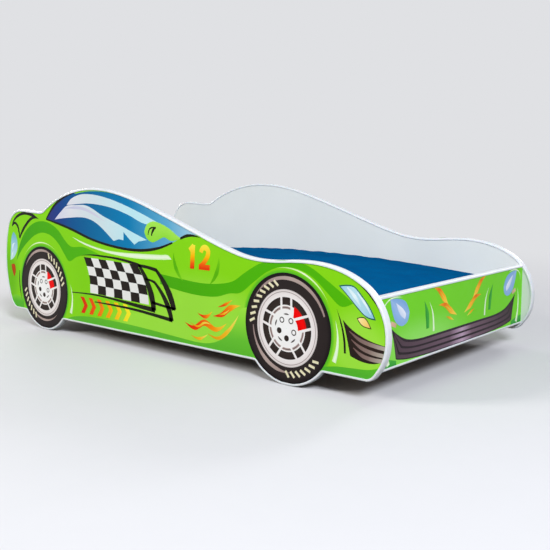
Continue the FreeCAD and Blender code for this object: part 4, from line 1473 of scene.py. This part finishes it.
def makeStage():
    # a pale floor, duller for bounced light, whose far part fades into the colour seen behind it
    s = stageLook
    finish = Finish("pale_floor", values={"Specular IOR Level": 0.1, "Roughness": 0.9})
    speck = finish.between(finish.noise(s["specks"], 4.0), *cloudBand, (0.0, s["speckShare"]))
    rays = finish.put("LightPath")
    seen = finish.math("MAXIMUM", rays.outputs["Is Camera Ray"], rays.outputs["Is Glossy Ray"])
    pale = finish.mix(speck, ink(*s["floor"]), ink(*s["speck"]))
    finish.colour(finish.mix(seen, ink(*s["bounce"]), pale))
    reach = finish.put("VectorMath", {0: finish.where}, operation="LENGTH").outputs["Value"]
    far = finish.between(reach, s["fadeFrom"], s["fadeTo"])
    plain = finish.put("Emission", {"Color": ink(*s["back"]), "Strength": 1.0}).outputs[0]
    fade = finish.math("MULTIPLY", far, seen)
    shown = finish.put("MixShader", {0: fade, 1: finish.shader.outputs[0], 2: plain})
    output = next(n for n in finish.tree.nodes if n.type == "OUTPUT_MATERIAL")
    finish.tree.links.new(shown.outputs[0], output.inputs["Surface"])
    mesh = bpy.data.meshes.new("floor")
    r = s["reach"]
    mesh.from_pydata([(-r, -r, 0), (r, -r, 0), (r, r, 0), (-r, r, 0)], [], [(0, 1, 2, 3)])
    mesh.materials.append(finish.material)
    floor = bpy.data.objects.new("floor", mesh)
    bpy.context.scene.collection.objects.link(floor)


lightPlan = {
    "world": {"strength": 0.22, "tint": (250, 251, 255)},
    # area lamps: place and aim in metres, size across, power in watts, tint
    "lamps": {
        "key": ((-3.2, -5.2, 3.4), (0, 0, 0.2), 2.0, 248.0, (255, 253, 248)),
        "fill": ((4.4, -2.8, 3.4), (0.4, 0, 0.2), 1.6, 338.0, (243, 246, 255)),
        "back": ((0.9, 6.0, 3.4), (0, 0, 0.2), 1.8, 130.0, (250, 250, 255)),
        "tail": ((-5.0, 1.6, 1.5), (-0.8, 0, 0.3), 1.6, 85.0, (253, 252, 250)),
    },
}


def makeLights():
    world = bpy.data.worlds.new("studio")
    bpy.context.scene.world = world
    world.use_nodes = True
    tree = world.node_tree
    tree.nodes.clear()
    rays = tree.nodes.new("ShaderNodeLightPath")
    room = tree.nodes.new("ShaderNodeBackground")
    room.inputs["Color"].default_value = ink(*lightPlan["world"]["tint"])
    room.inputs["Strength"].default_value = lightPlan["world"]["strength"]
    seen = tree.nodes.new("ShaderNodeBackground")
    seen.inputs["Color"].default_value = ink(*stageLook["back"])
    either = tree.nodes.new("ShaderNodeMath")
    either.operation = "MAXIMUM"
    choose = tree.nodes.new("ShaderNodeMixShader")
    output = tree.nodes.new("ShaderNodeOutputWorld")
    tree.links.new(rays.outputs["Is Camera Ray"], either.inputs[0])
    tree.links.new(rays.outputs["Is Glossy Ray"], either.inputs[1])
    tree.links.new(either.outputs[0], choose.inputs[0])
    tree.links.new(room.outputs[0], choose.inputs[1])
    tree.links.new(seen.outputs[0], choose.inputs[2])
    tree.links.new(choose.outputs[0], output.inputs["Surface"])
    for name, (place, aim, size, power, tint) in lightPlan["lamps"].items():
        light = bpy.data.lights.new(name, "AREA")
        light.shape = "DISK"
        light.size = size
        light.energy = power
        light.color = ink(*tint)[:3]
        lamp = bpy.data.objects.new(name, light)
        bpy.context.scene.collection.objects.link(lamp)
        back = np.array(place) - np.array(aim)
        back /= np.linalg.norm(back)
        beside = np.cross([0, 0, 1.0], back)
        beside /= np.linalg.norm(beside)
        turned = np.column_stack([beside, np.cross(back, beside), back])
        lamp.matrix_world = Matrix.Translation(place) @ Matrix(turned.tolist()).to_4x4()


cameraPlan = {
    "place": (1.8382, -1.9319, 0.5654),  # metres
    "pan": 131.422, "tilt": -7.7125, "roll": -0.4135,  # degrees from +X, above level, about the line of sight
    "focal": 770.93, "frame": 550.0, "sensor": 36.0,  # the first two in the picture's pixels, the last in mm
}


def makeCamera():
    c = cameraPlan
    pan, tilt, roll = (math.radians(c[key]) for key in ("pan", "tilt", "roll"))
    ahead = np.array([math.cos(tilt) * math.cos(pan), math.cos(tilt) * math.sin(pan), math.sin(tilt)])
    level = np.cross(ahead, [0, 0, 1.0])
    level /= np.linalg.norm(level)
    upright = np.cross(level, ahead)
    right = level * math.cos(roll) + upright * math.sin(roll)
    up = np.cross(right, ahead)
    data = bpy.data.cameras.new("camera")
    data.sensor_width = c["sensor"]
    data.lens = c["focal"] / c["frame"] * c["sensor"]
    camera = bpy.data.objects.new("camera", data)
    bpy.context.scene.collection.objects.link(camera)
    turned = np.column_stack([right, up, -ahead])
    camera.matrix_world = Matrix.Translation(c["place"]) @ Matrix(turned.tolist()).to_4x4()
    bpy.context.scene.camera = camera


makeStage()
makeLights()
makeCamera()
bpy.context.scene.view_settings.view_transform = "Standard"

print("stage, light and camera done")
